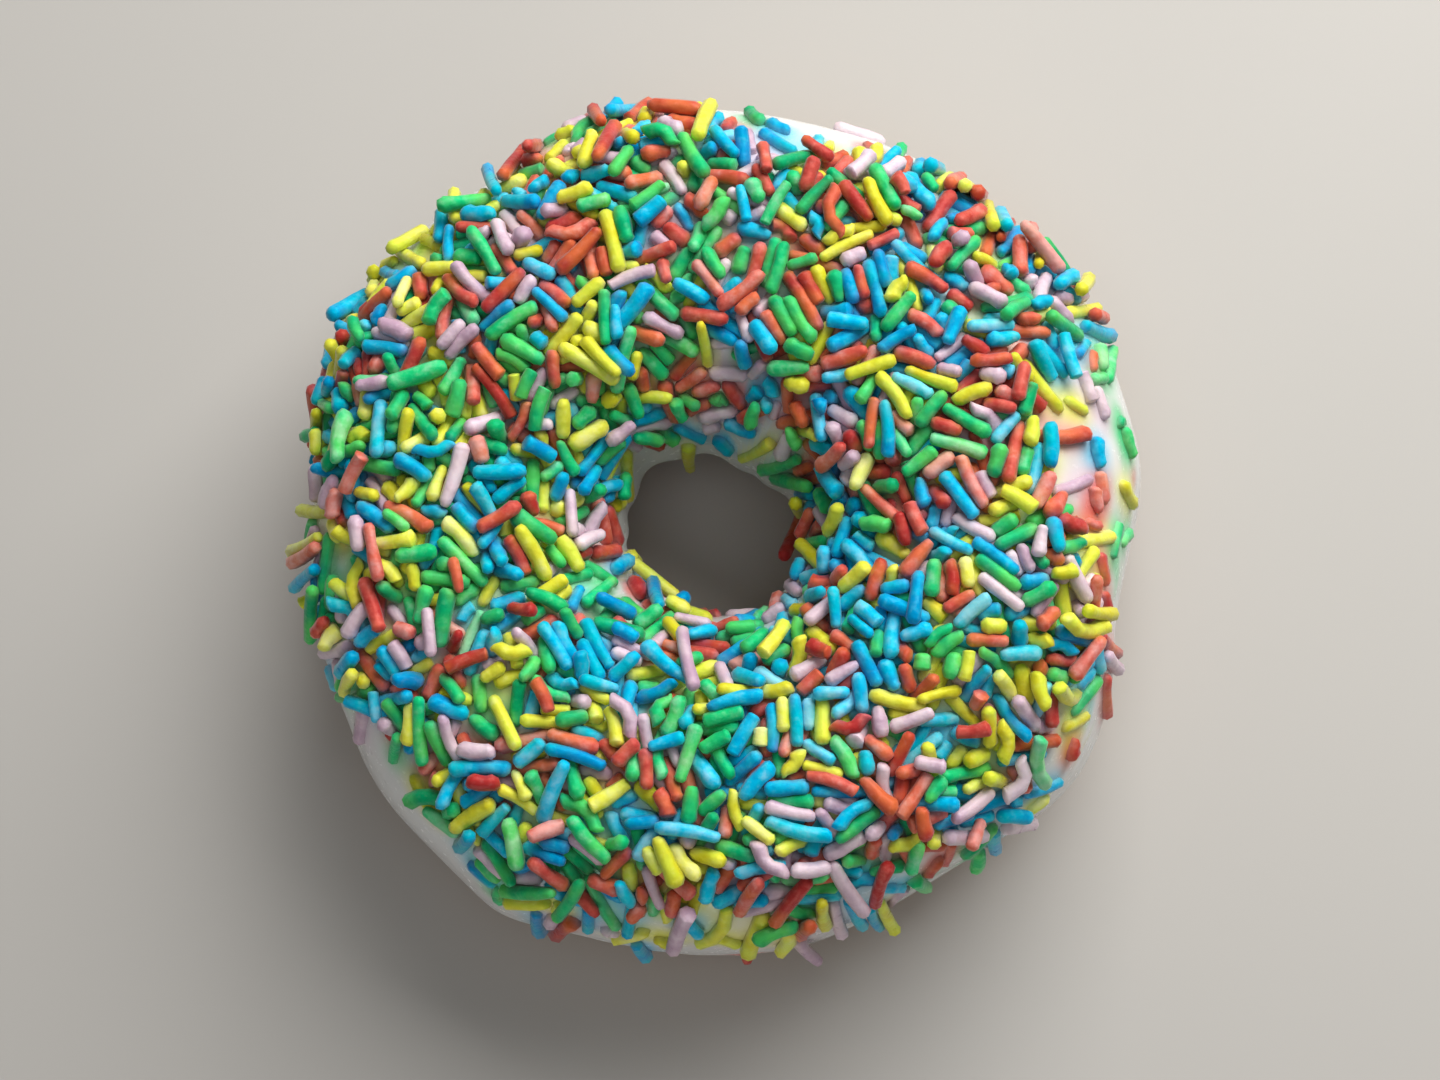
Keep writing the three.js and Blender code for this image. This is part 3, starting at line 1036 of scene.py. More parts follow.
@dataclass
class Strands:
    """Many sugar strands as arrays, in millimetres.

    Each is a round bar between the middles of its two round ends, with the depth that it may sink in the
    icing, how far each end stands off the icing, its sideways bend, its place in the list of sugars, and
    how freely it still moves.
    """

    start: Array
    end: Array
    radius: Array
    sunk: Array
    stand: Array
    bend: Array
    kind: Array
    grip: Array

    def __len__(self) -> int:
        """How many strands there are."""
        return len(self.radius)

    def middle(self) -> Array:
        """The strands' middles."""
        return (self.start + self.end) / 2

    def length(self) -> Array:
        """The distances between the strands' ends."""
        return np.linalg.norm(self.end - self.start, axis=1)

    def at(self, index: Array, share: Array) -> Array:
        """The points that lie a share of the way along some of the strands."""
        return self.start[index] * (1 - share) + self.end[index] * share

    def chosen(self, mask: Array) -> "Strands":
        """Some of the strands."""
        return Strands(*(getattr(self, part.name)[mask] for part in fields(self)))

    def joined(self, others: "Strands") -> "Strands":
        """These strands with others after them."""
        pairs = ((getattr(self, part.name), getattr(others, part.name)) for part in fields(self))
        return Strands(*(np.concatenate(pair) for pair in pairs))

    def nearest(self, one: Array, other: Array) -> tuple[Array, Array, Array, Array]:
        """Where the two strands of each pair come nearest to each other.

        The shares s and t solve the two equations that make the line between the points square to both
        strands, and each is then held between 0 and 1.

        Args:
            one: the first strand of each pair.
            other: the second one.

        Returns:
            How far along each of the two that is, from 0 to 1, in columns, and the points on them.
        """
        along_one, along_other = self.end[one] - self.start[one], self.end[other] - self.start[other]
        apart = self.start[one] - self.start[other]
        a, e, b = dot(along_one, along_one), dot(along_other, along_other), dot(along_one, along_other)
        c, f = dot(along_one, apart), dot(along_other, apart)
        slant = a * e - b * b
        s = np.where(slant > FAINT, np.clip((b * f - c * e) / np.maximum(slant, FAINT), 0, 1), 0.5)
        t = np.clip((b * s + f) / e, 0, 1)
        s, t = np.clip((b * t - c) / a, 0, 1)[:, None], t[:, None]
        return s, t, self.at(one, s), self.at(other, t)


@dataclass
class StrandPile:
    """The strands that were shaken over the wet icing: poured in turns, each on top of the ones before.

    Lengths are in mm, and pairs of numbers are the limits of what is drawn at random.
    """

    form: RingForm
    viewpoint: Viewpoint
    ceiling: float
    seed: int = 20
    # How many strands fall on a square millimetre, in how many turns and how high, and where fewer do.
    density: float = 0.3
    pours: int = 4
    layer: float = 0.9
    cells_round: int = 720
    tilts: tuple[int, int] = (-20, 200)
    side_share: float = 0.25
    least_upward: float = 0.01
    clearing: float = 2.6
    cleared_share: float = 0.9
    # Which sugars fall where: by random waves over the pile, and by the places where they gather.
    swell: float = 0.5
    swell_waves: int = 8
    swell_spread: float = 0.55
    gathering: float = 1.1
    gathering_width: float = 4.5
    # The strands' own sizes and bends, and how they land: most lie level, some steep, and some propped.
    shortest: float = 2.6
    longest: float = 8.6
    length_shape: tuple[float, float] = (1.8, 4.4)
    mean_radius: float = 0.75
    radius_spread: float = 0.07
    radius_limits: tuple[float, float] = (0.58, 0.95)
    least_half: float = 0.2
    bent_share: float = 0.13
    bent: float = 0.13
    straight: float = 0.03
    drop: tuple[float, float] = (0.4, 2.4)
    steep_share: float = 0.08
    steep: float = 1.2
    level: float = 0.3
    sinking: tuple[float, float] = (0.15, 0.55)
    lone_sinking: float = 0.3
    propped: float = 0.15
    prop: tuple[float, float] = (0.8, 3.0)
    prop_facing: float = 0.75
    # The strands with known places: how high they are looked up, how deep they sink, how far they reach
    # out past the icing, and the share of their depth that the end at rest may lose.
    over_icing: float = 0.3
    over_pile: float = 3.4
    stray_sinking: tuple[float, float] = (0.3, 0.8)
    stray_bend: float = 0.15
    reach_out: float = 2.2
    rest_share: float = 0.7
    # How they settle: the step of a pass, how often the pairs are listed again, from when and how far the
    # step is cut, how freely the strands of earlier turns move, and how far two may overlap.
    step: float = 0.09
    passes: int = 80
    relisted: int = 8
    slow_from: float = 0.8
    slow: float = 0.3
    held: float = 0.12
    lone_held: float = 0.02
    margin: float = 0.6
    overlap: float = 0.05
    over_ceiling: float = 0.5
    random: np.random.Generator = field(init=False)
    waves: Array = field(init=False)
    phases: Array = field(init=False)
    azimuth: Array = field(init=False)
    tilt: Array = field(init=False)
    weight: Array = field(init=False)
    upward: Array = field(init=False)

    def __post_init__(self) -> None:
        """Seeds the pile's own source of numbers, and draws the waves by which like strands gather."""
        self.random = np.random.default_rng(self.seed)
        self.waves = self.random.normal(0, self.swell_spread, (len(Sugar), self.swell_waves, 3))
        self.phases = self.random.uniform(0, TURN, (len(Sugar), self.swell_waves, 1))

    def pour(self) -> Strands:
        """All the strands at rest: the lone ones, the turns of the pile, and the ones that stand out.

        Returns:
            The strands.
        """
        self.cells()
        strays = self.strays()
        lone = self.form.is_thin(*self.form.place(strays.middle())[:2])
        strands = strays.chosen(lone)
        self.settle(strands)
        for number in range(self.pours):
            strands.grip[:] = np.minimum(strands.grip, self.held)
            strands.grip[: lone.sum()] = self.lone_held
            strands = strands.joined(self.scatter(number))
            self.settle(strands)
        strands.grip[:] = np.minimum(strands.grip, self.held)
        strands = strands.joined(strays.chosen(~lone))
        self.settle(strands)
        for ends in (strands.start, strands.end):
            ends[:, 2] = np.minimum(ends[:, 2], self.ceiling + self.over_ceiling - strands.radius)
        return strands

    def made(self, middle: Array, axis: Array, length: Array, radius: Array, sunk: Array) -> Strands:
        """Strands of random colours and bends, free to move.

        Args:
            middle: their middles.
            axis: their directions.
            length: their whole lengths, with both round ends.
            radius: their radii.
            sunk: how deep each may sink in the icing.

        Returns:
            The strands.
        """
        random, count = self.random, len(radius)
        half = axis * np.maximum(length / 2 - radius, self.least_half)[:, None]
        likely = np.cumsum(self.likely(middle), axis=0)
        kind = (random.random(count) * likely[-1] > likely).sum(axis=0)
        strength = np.where(random.random(count) < self.bent_share, self.bent, self.straight)
        bend = random.normal(0, 1, count) * strength * (length - 2 * radius)
        stand = np.zeros((count, 2))
        return Strands(middle - half, middle + half, radius, sunk, stand, bend, kind, np.ones(count))

    def likely(self, middle: Array) -> Array:
        """How likely each sugar is at each place.

        The sugar's own likelihood at the azimuth is multiplied by exp(swell * waves), so that like lies by
        like. The waves are a sum of random cosines, divided by the root of its mean square. Near the places
        where the sugar gathers it is also multiplied by
        exp(gathering * exp(-(distance / gathering width)^2)).

        Args:
            middle: the places, as rows.

        Returns:
            The likelihoods, with a row for each sugar.
        """
        azimuth, _, _ = self.form.place(middle)
        likely = np.array([sugar.likely(azimuth) for sugar in Sugar])
        swell = np.cos(np.einsum("pi,swi->swp", middle, self.waves) + self.phases).sum(axis=1)
        likely = likely * np.exp(self.swell * swell / math.sqrt(self.swell_waves / 2))
        for number, sugar in enumerate(Sugar):
            places = self.viewpoint.seen(self.form, np.array(GATHERED[sugar], float), GATHERED_RISE)
            away = np.linalg.norm(middle[:, None] - places[None], axis=2)
            likely[number] *= np.exp(self.gathering * bell(away, self.gathering_width).max(axis=1))
        return likely

    def radii(self, count: int) -> Array:
        """Random radii."""
        return np.clip(self.random.normal(self.mean_radius, self.radius_spread, count), *self.radius_limits)

    def cells(self) -> None:
        """Divides the icing into small cells, each weighted for how many strands fall in it.

        The weight is the cell's area, radius * reach * steps, times how well strands cover it, times
        side share + (1 - side share) * how far it faces up. At the cleared places it is less by
        cleared share * exp(-(distance / clearing)^2).
        """
        form, (low, high) = self.form, self.tilts
        azimuth, tilt = np.meshgrid(
            np.linspace(0, TURN, self.cells_round + 1)[:-1], np.linspace(low, high, high - low + 1) * DEGREE
        )
        surface = form.point(azimuth, tilt, form.icing)
        area = np.hypot(surface[..., 0], surface[..., 1]) * (form.half_width + form.icing)
        area = area * TURN / self.cells_round * DEGREE
        upward = (form.point(azimuth, tilt, form.icing + 1) - surface)[..., 2]
        upward = np.clip(upward, self.least_upward, 1)
        weight = area * form.coverage(azimuth, tilt) * (self.side_share + (1 - self.side_share) * upward)
        for place in self.viewpoint.seen(form, np.array(CLEARED, float), CLEARED_RISE):
            away = np.linalg.norm(surface - place, axis=-1)
            weight = weight * (1 - self.cleared_share * bell(away, self.clearing))
        self.azimuth, self.tilt = azimuth.ravel(), tilt.ravel()
        self.weight, self.upward = weight.ravel(), upward.ravel()

    def scatter(self, turn: int) -> Strands:
        """One turn of the pile: strands at random places, headings and heights over the icing.

        The later the turn, the fewer of them stay on the sides: a cell's weight is multiplied by how far
        it faces up, to the power of turn / 2. Some are left propped, with one end high.

        Args:
            turn: the turn's number, from 0.

        Returns:
            The strands, before they settle.
        """
        form, random = self.form, self.random
        count = round(self.density * self.weight.sum() / self.pours)
        weight = self.weight * self.upward ** (turn / 2)
        cell = random.choice(weight.size, count, p=weight / weight.sum())
        azimuth = self.azimuth[cell] + random.uniform(-0.5, 0.5, count) * TURN / self.cells_round
        tilt = self.tilt[cell] + random.uniform(-0.5, 0.5, count) * DEGREE
        length = self.shortest + (self.longest - self.shortest) * random.beta(*self.length_shape, count)
        rise = form.icing + turn * self.layer + random.uniform(*self.drop, count)
        middle = form.point(azimuth, tilt, rise)
        _, normal = form.above_icing(middle)
        heading = unit(np.cross(normal, random.normal(size=(count, 3))))
        leaning = np.where(random.random(count) < self.steep_share, self.steep, self.level)
        lean = random.normal(0, leaning)[:, None]
        sunk = random.uniform(*self.sinking, count) + self.lone_sinking * form.is_thin(azimuth, tilt)
        strands = self.made(middle, unit(heading + lean * normal), length, self.radii(count), sunk)
        propped = (random.random(count) < self.propped) & (self.upward[cell] > self.prop_facing)
        strands.stand[:, 1] = np.where(propped, random.uniform(*self.prop, count), 0)
        return strands

    def strays(self) -> Strands:
        """The strands with known places, on the icing under their image points or just over the pile.

        Where an end's ray passes the doughnut by, the end stands off the icing by that much, but one end
        always rests on it.

        Returns:
            The strands, before they settle.
        """
        rows = [(number, *row) for number, sugar in enumerate(Sugar) for row in STRAYS[sugar]]
        spots = np.array([row[1:5] for row in rows], float).reshape(-1, 2)
        radius = self.radii(len(rows))
        rise = np.zeros(len(spots))
        for over_pile in (0.0, self.over_pile):
            azimuth, tilt, _ = self.form.place(self.viewpoint.seen(self.form, spots, rise))
            rise = np.where(self.form.is_thin(azimuth, tilt), self.over_icing, over_pile)
        points = self.viewpoint.seen(self.form, spots, rise)
        height, _ = self.form.above_icing(points)
        points = points.reshape(-1, 2, 3)
        line = points[:, 1] - points[:, 0]
        length = np.minimum(np.linalg.norm(line, axis=1), self.longest)
        sunk = self.random.uniform(*self.stray_sinking, len(rows))
        strays = self.made(points.mean(axis=1), unit(line), length, radius, sunk)
        stand = np.clip(height - rise, 0, self.reach_out).reshape(-1, 2)
        loose = np.maximum(stand.min(axis=1) - self.rest_share * sunk, 0)
        strays.stand[:] = stand - loose[:, None]
        strays.kind[:] = [row[0] for row in rows]
        strays.bend[:] = [row[5] if len(row) > 5 else self.stray_bend for row in rows]
        return strays

    def settle(self, strands: Strands) -> None:
        """Lets the strands sink on to the icing and lie on each other.

        Each pass pulls both ends of every strand a small step towards the icing, parts the pairs that
        overlap by moving their ends in proportion to how near the contact is, lifts what is too deep in
        the icing, lowers what stands above the ceiling, and gives each strand its own length back.

        Args:
            strands: the strands, which are moved.
        """
        length = strands.length()
        for number in range(self.passes):
            if number % self.relisted == 0:
                one, other = self.neighbours(strands, length)
            ending = number > self.slow_from * self.passes
            self.pull(strands, self.step * (self.slow if ending else 1.0))
            self.part(strands, one, other)
            self.lift(strands)
            middle = strands.middle()
            half = unit(strands.end - strands.start) * length[:, None] / 2
            strands.start[:], strands.end[:] = middle - half, middle + half

    def neighbours(self, strands: Strands, length: Array) -> tuple[Array, Array]:
        """The pairs of strands that may touch before the list is made again.

        Args:
            strands: the strands.
            length: the distances between their ends.

        Returns:
            The first and the second strand of each pair.
        """
        middle = strands.middle()
        square = dot(middle, middle)
        apart = square[:, None] + square[None] - 2 * middle @ middle.T
        reach = length / 2 + self.mean_radius + self.margin
        return np.nonzero(np.triu(apart < (reach[:, None] + reach[None]) ** 2, 1))

    def pull(self, strands: Strands, step: float) -> None:
        """Moves each end towards the icing, until it is as deep in it as that strand lies.

        Args:
            strands: the strands, which are moved.
            step: the furthest that an end may move, in mm.
        """
        for ends, stand in ((strands.start, strands.stand[:, 0]), (strands.end, strands.stand[:, 1])):
            height, normal = self.form.above_icing(ends)
            fall = np.clip(height - strands.radius + strands.sunk - stand, 0, step)
            ends -= normal * (fall * strands.grip)[:, None]
            ends[:, 2] -= np.clip(ends[:, 2] + strands.radius - self.ceiling, 0, 2 * step)

    def part(self, strands: Strands, one: Array, other: Array) -> None:
        """Moves overlapping pairs of strands apart along the line between their nearest points.

        Args:
            strands: the strands, which are moved.
            one: the first strand of each pair.
            other: the second one.
        """
        s, t, near_one, near_other = strands.nearest(one, other)
        line = near_one - near_other
        gap = np.linalg.norm(line, axis=1)
        wanted = strands.radius[one] + strands.radius[other] - self.overlap
        deep = np.maximum(wanted - gap, 0)
        touching = deep > 0
        one, other, s, t = one[touching], other[touching], s[touching], t[touching]
        push = (line / np.maximum(gap, FAINT)[:, None] * deep[:, None])[touching]
        both = strands.grip[one] + strands.grip[other]
        moves = np.zeros((2, len(strands), 3))
        touches = np.zeros(len(strands))
        for index, share, way in ((one, s, 1.0), (other, t, -1.0)):
            lever = (1 - share) ** 2 + share**2
            part = way * push * (strands.grip[index] / both)[:, None]
            np.add.at(moves[0], index, part * (1 - share) / lever)
            np.add.at(moves[1], index, part * share / lever)
            np.add.at(touches, index, 1.0)
        ease = 1 / np.maximum(np.sqrt(touches), 1.0)[:, None]
        strands.start += moves[0] * ease
        strands.end += moves[1] * ease

    def lift(self, strands: Strands) -> None:
        """Raises the ends and the middles of strands that are too deep in the icing.

        Args:
            strands: the strands, which are moved.
        """

        def rise(points: Array) -> Array:
            """The way straight out of the icing to where the strands may lie."""
            height, normal = self.form.above_icing(points)
            return normal * np.maximum(strands.radius - strands.sunk - height, 0)[:, None]

        for ends in (strands.start, strands.end):
            ends += rise(ends)
        middle_rise = rise(strands.middle())
        strands.start += middle_rise
        strands.end += middle_rise


@dataclass
class StrandShapes:
    """Turns settled strands into meshes: bars of a few bands, gently bent, with round or cut ends.

    The caps are the rings of a round end, from its pole inwards: how far along the strand each lies from
    the bar's end, and how wide it is, as shares of the radius. Lengths are in mm.
    """

    pile: StrandPile
    strands: Strands
    sides: int = 7
    straight_bands: int = 3
    caps: tuple[tuple[float, float], ...] = ((-1.0, 0.0), (-0.8, 0.6), (-0.32, 0.94))
    dimple: float = 0.9
    roll: float = 0.6
    cut_share: float = 0.12
    cut_ends: tuple[float, float] = (0.3, 0.55)
    round_ends: tuple[float, float] = (0.85, 1.1)
    ring_spread: float = 0.05
    side_spread: float = 0.03
    taper_spread: float = 0.07
    tone_spread: float = 0.38
    # painted light: how much paler the faces that point up are, and how much deeper the sides and
    # undersides
    painted_top_light: float = 0.4
    icing_rub: float = 0.3
    icing_rub_height: float = 0.4
    touch_gap: float = 0.15
    rub_width: float = 0.6
    rub_strength: float = 0.24

    def points(self) -> tuple[Array, Array]:
        """Every strand's vertices, as an array of strands by vertices by three, and how far up each faces.

        A ring's middle lies on the line between the ends, moved sideways by bend * (2/3 - (2u - 1)^2),
        where u runs from 0 to 1 along the strand. The rings near the ends shrink to a dimpled pole, and
        each ring is a circle of the strand's radius with a little unevenness.

        Returns:
            The vertices, and how far up each faces, from -1 to 1.
        """
        random, strands = self.pile.random, self.strands
        count = len(strands)
        axis = unit(strands.end - strands.start)
        _, normal = self.pile.form.above_icing(strands.middle())
        roll = random.uniform(-self.roll, self.roll, count)[:, None]
        side = unit(np.cross(axis, normal))
        across = unit(side * np.cos(roll) + np.cross(axis, side) * np.sin(roll))
        upward = np.cross(axis, across)
        length = strands.length()
        is_cut = random.random(count) < self.cut_share
        cut, whole = random.uniform(*self.cut_ends, count), random.uniform(*self.round_ends, count)
        blunt = np.where(is_cut, cut, whole)
        along = np.linspace(0, 1, self.straight_bands + 1)
        caps = np.array(self.caps)
        out = np.concatenate([caps[:, 0], np.zeros(len(along)), -caps[::-1, 0]])
        wide = np.concatenate([caps[:, 1], np.ones(len(along)), caps[::-1, 1]])
        share = np.concatenate([np.zeros(len(caps)), along, np.ones(len(caps))])
        offset = (out * np.where(wide == 0, self.dimple, 1.0))[None] * (blunt * strands.radius)[:, None]
        line = strands.start[:, None] + (share[None] * length[:, None] + offset)[..., None] * axis[:, None]
        from_middle = 2 * share[None] - 1
        curve = strands.bend[:, None] * (2 / 3 - from_middle**2)
        line = line + curve[..., None] * across[:, None]
        slope = -4 * strands.bend[:, None] * from_middle / np.maximum(length, 1.0)[:, None]
        tangent = unit(axis[:, None] + slope[..., None] * across[:, None])
        second = upward[:, None]
        first = np.cross(second, tangent)
        turn = np.arange(self.sides) / self.sides * TURN
        uneven = 1 + random.normal(0, self.ring_spread, (count, len(share), 1))
        uneven = uneven + random.normal(0, self.side_spread, (count, 1, self.sides))
        uneven = uneven + (random.normal(0, self.taper_spread, (count, 1)) * from_middle)[..., None]
        radius = strands.radius[:, None, None] * wide[None, :, None] * uneven
        circle = first[:, :, None] * np.cos(turn)[:, None] + second[:, :, None] * np.sin(turn)[:, None]
        rings = line[:, :, None] + radius[..., None] * circle
        poles = rings[:, [0, -1], 0]
        body = rings[:, 1:-1].reshape(count, -1, 3)
        facing = (circle[..., 2] * wide[None, :, None])[:, 1:-1].reshape(count, -1)
        facing = np.concatenate([facing, np.zeros((count, 2))], axis=1)
        return np.concatenate([body, poles], axis=1), facing

    def faces(self) -> tuple[Array, Array]:
        """One strand's four-sided faces and the fans of three-sided ones at its poles.

        Returns:
            The two arrays of faces.
        """
        rings = self.straight_bands + 2 * len(self.caps) - 1
        index = np.arange(rings * self.sides).reshape(rings, self.sides)
        beside = np.roll(index, -1, axis=1)
        bands = np.stack([index[:-1], beside[:-1], beside[1:], index[1:]], axis=-1).reshape(-1, 4)
        first, last = rings * self.sides, rings * self.sides + 1
        start = np.stack([beside[0], index[0], np.full(self.sides, first)], axis=-1)
        end = np.stack([index[-1], beside[-1], np.full(self.sides, last)], axis=-1)
        return bands, np.concatenate([start, end])

    def smears(self, points: Array) -> tuple[Array, Array]:
        """What has rubbed off on the strands: dye where two touch, and icing near their foot.

        Each touch adds rub strength * exp(-(distance / rub width)^2) of the other strand's colour.

        Args:
            points: every strand's vertices.

        Returns:
            How much of each vertex's colour is rubbed off, from 0 to 1, and that colour.
        """
        strands, pile = self.strands, self.pile
        height, _ = pile.form.above_icing(points.reshape(-1, 3))
        amount = self.icing_rub * bell(np.maximum(height, 0), self.icing_rub_height)
        amount = amount.reshape(points.shape[:2])
        colour = amount[..., None] * np.array(ICING_WHITE)
        one, other = pile.neighbours(strands, strands.length())
        _, _, near_one, near_other = strands.nearest(one, other)
        gap = np.linalg.norm(near_one - near_other, axis=1) - strands.radius[one] - strands.radius[other]
        touching = gap < self.touch_gap
        one, other = one[touching], other[touching]
        touch = (near_one[touching] + near_other[touching]) / 2
        for index, source in ((one, other), (other, one)):
            away = np.linalg.norm(points[index] - touch[:, None], axis=-1)
            rub = self.rub_strength * bell(away, self.rub_width)
            np.add.at(amount, index, rub)
            np.add.at(colour, index, rub[..., None] * DYES[strands.kind[source]][:, None])
        return 1 - np.exp(-amount), colour / np.maximum(amount, FAINT)[..., None]

    def build(self) -> None:
        """Writes one piece for each colour of strand."""
        points, facing = self.points()
        share, smear = self.smears(points)
        tone = self.pile.random.normal(0, self.tone_spread, len(points))[:, None]
        # painted light and shade: the random tone is raised on faces that point up and lowered on the sides
        # and undersides
        tone = tone + self.painted_top_light * (facing - 0.5)
        bands, fans = self.faces()
        for number, sugar in enumerate(Sugar):
            chosen = np.nonzero(self.strands.kind == number)[0]
            shift = (np.arange(len(chosen)) * points.shape[1])[:, None, None]
            faces = [(part[None] + shift).reshape(-1, part.shape[1]) for part in (bands, fans)]
            piece = write_mesh(sugar.piece, points[chosen].reshape(-1, 3), faces)
            # this attribute holds the random tone together with the painted light and shade of tops and
            # sides
            paint(piece, "tone_with_painted_light", tone[chosen].ravel())
            paint(piece, "smear_share", share[chosen].ravel())
            paint(piece, "smear", smear[chosen].reshape(-1, 3))
            piece.data.materials.append(SUGARS[sugar].material())
            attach(piece, "root")
            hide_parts("icing_with_sprinkles")
            sugar.piece
            LOG.info("%s: %d strands, %d faces", sugar.piece, len(chosen), len(piece.data.polygons))


# ---- icing ----


@dataclass
class Icing:
    """The icing cap: a skin with a rolled edge, drips, and a little meniscus and dye round each strand.

    Lengths are in mm, and the scallops' heights are in degrees of tilt.
    """

    form: RingForm
    viewpoint: Viewpoint
    seed: int = 7
    # The grid and its edges.
    round_steps: int = 400
    outer_steps: int = 196
    back_steps: int = 14
    crowding: float = 0.5
    outer_scallops: tuple[Wave, ...] = (Wave(0.72, 23, 0, 1.0), Wave(0.56, 37, 0), Wave(0.4, 61, 0))
    inner_scallops: tuple[Wave, ...] = (Wave(1.2, 7, 0, 1.0), Wave(0.8, 11, 0), Wave(0.4, 17, 0))
    roll: float = 1.5
    sink: float = 0.35
    # Its unevenness, which is calmed in the hole.
    uneven: tuple[Noise, ...] = (Noise(0.09, (54, 14)), Noise(0.025, (120, 30)))
    calmed: float = 0.8
    calm_from: float = 110 * DEGREE
    calm_to: float = 165 * DEGREE
    # What the strands do to it.
    samples: int = 6
    touching: float = 1.1
    rows_round: int = 5
    rows_across: int = 8
    meniscus: float = 0.5
    meniscus_width: float = 0.75
    meniscus_rise: float = 0.22
    clear_rows: int = 14
    dye: float = 0.4
    dye_width: float = 1.6
    melted_dye: float = 0.9
    ragged: Noise = Noise(0.5, (90, 40))

    def edges(self, azimuth: Array) -> tuple[Array, Array]:
        """The tilts of the outer and the inner edge, with small scallops on top of the drips."""
        outer = self.form.outer_edge(azimuth) - waves(self.outer_scallops, azimuth) * DEGREE
        return outer, self.form.inner_edge(azimuth) + waves(self.inner_scallops, azimuth) * DEGREE

    def rows(self) -> Array:
        """The rows' places between the edges: u - crowding * sin(turn * u) / turn, for even u."""
        even = np.linspace(0, 1, self.outer_steps)
        return even - self.crowding * np.sin(TURN * even) / TURN

    def grid(self) -> tuple[Array, Array, Array]:
        """The azimuth, tilt and rise of the whole surface's grid, before the strands' marks.

        The outer face's rise is the thickness times sqrt(1 - (1 - s/roll)^2), where s is the distance
        to the edge. The back lies just under the crust.

        Returns:
            The three arrays.
        """
        azimuth = np.arange(self.round_steps) / self.round_steps * TURN
        outer, inner = self.edges(azimuth)
        share = np.concatenate([self.rows(), np.linspace(1, 0, self.back_steps + 2)[1:-1]])
        tilt = outer[:, None] + (inner - outer)[:, None] * share[None]
        azimuth = np.broadcast_to(azimuth[:, None], tilt.shape)
        from_edge = np.minimum(tilt - outer[:, None], inner[:, None] - tilt) * self.form.half_width
        rolled = np.sqrt(np.clip(1 - (1 - np.minimum(from_edge / self.roll, 1)) ** 2, 0, 1))
        random = np.random.default_rng(self.seed)
        uneven = sum(noise.on(tilt.shape, random) for noise in self.uneven)
        uneven = uneven * (1 - self.calmed * smoothstep(tilt, self.calm_from, self.calm_to))
        rise = (self.form.icing_thickness(azimuth, tilt) + uneven) * rolled
        rise[:, self.outer_steps :] = -self.sink
        rise[:, [0, self.outer_steps - 1]] = -self.sink / 2
        return azimuth, tilt, rise

    def melted(self, points: Array) -> tuple[Array, Array]:
        """The strength and the summed colour of the melted strands' dye.

        Each adds melted dye * exp(-(distance / reach)^2), with the distance made ragged by noise.

        Args:
            points: the icing's grid.

        Returns:
            The strength and the colour at its points.
        """
        places = self.viewpoint.seen(self.form, np.array([row[:3] for row in MELTED]))
        ragged = 1 + self.ragged.on(points.shape[:2], np.random.default_rng(self.seed))
        strength, colour = np.zeros(points.shape[:2]), np.zeros(points.shape)
        for place, (_, _, reach, sugar) in zip(places, MELTED):
            dye = self.melted_dye * bell(np.linalg.norm(points - place, axis=-1) * ragged, reach)
            strength += dye
            colour += dye[..., None] * np.array(SUGARS[sugar].colour)
        return strength, colour

    def marks(self, points: Array, strands: Strands) -> tuple[Array, Array, Array]:
        """What the strands do to the icing near them.

        Points along each strand add exp(-(distance / width)^2) to the grid points round them, once
        for the raised meniscus and once, wider, for the dye.

        Args:
            points: the icing's grid.
            strands: the settled strands.

        Returns:
            The meniscus from 0 to 1, the dye's strength from 0 to 1, and the dye's mean colour.
        """
        outer = points[:, : self.outer_steps]
        share = np.linspace(0, 1, self.samples)[None, :, None]
        along = (strands.start[:, None] * (1 - share) + strands.end[:, None] * share).reshape(-1, 3)
        colours = np.repeat(DYES[strands.kind], self.samples, axis=0)
        height, normal = self.form.above_icing(along)
        touching = height < self.touching
        foot, colours = (along - normal * height[:, None])[touching], colours[touching]
        azimuth, tilt, _ = self.form.place(foot)
        column = np.round((azimuth % TURN) / TURN * self.round_steps).astype(int) % self.round_steps
        first, last = self.edges(azimuth)
        row = np.searchsorted(self.rows(), (tilt - first) / (last - first))
        row = np.clip(row, 0, self.outer_steps - 1)
        raised = np.zeros(outer.shape[:2])
        strength, colour = self.melted(outer)
        for along_ring in range(-self.rows_round, self.rows_round + 1):
            for across_ring in range(-self.rows_across, self.rows_across + 1):
                i = (column + along_ring) % self.round_steps
                j = np.clip(row + across_ring, 0, self.outer_steps - 1)
                away = np.linalg.norm(outer[i, j] - foot, axis=1)
                np.add.at(raised, (i, j), self.meniscus * bell(away, self.meniscus_width))
                dye = self.dye * bell(away, self.dye_width)
                np.add.at(strength, (i, j), dye)
                np.add.at(colour, (i, j), dye[:, None] * colours)
        mean = colour / np.maximum(strength, FAINT)[..., None]
        return 1 - np.exp(-raised), 1 - np.exp(-strength), mean

    def build(self, strands: Strands) -> None:
        """Writes the icing.

        Args:
            strands: the settled strands.
        """
        azimuth, tilt, rise = self.grid()
        raised, strength, colour = self.marks(self.form.point(azimuth, tilt, rise), strands)
        from_edge = smoothstep(np.arange(self.outer_steps), 0, self.clear_rows)
        rise[:, : self.outer_steps] += self.meniscus_rise * raised * (from_edge * from_edge[::-1])
        points = self.form.point(azimuth, tilt, rise)
        stain = np.broadcast_to(ICING_WHITE, points.shape).copy()
        strength = strength[..., None]
        stain[:, : self.outer_steps] = np.array(ICING_WHITE) * (1 - strength) + colour * strength
        faces = grid_faces(self.round_steps, self.outer_steps + self.back_steps)
        piece = write_mesh("icing_cap", points.reshape(-1, 3), [faces])
        paint(piece, "stain", stain.reshape(-1, 3))
        piece.data.materials.append(IcingFinish().material())
        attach(piece, "root")
        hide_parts("icing_with_sprinkles")
        LOG.info("icing_cap: %d faces", len(faces))


# ---- dough ----


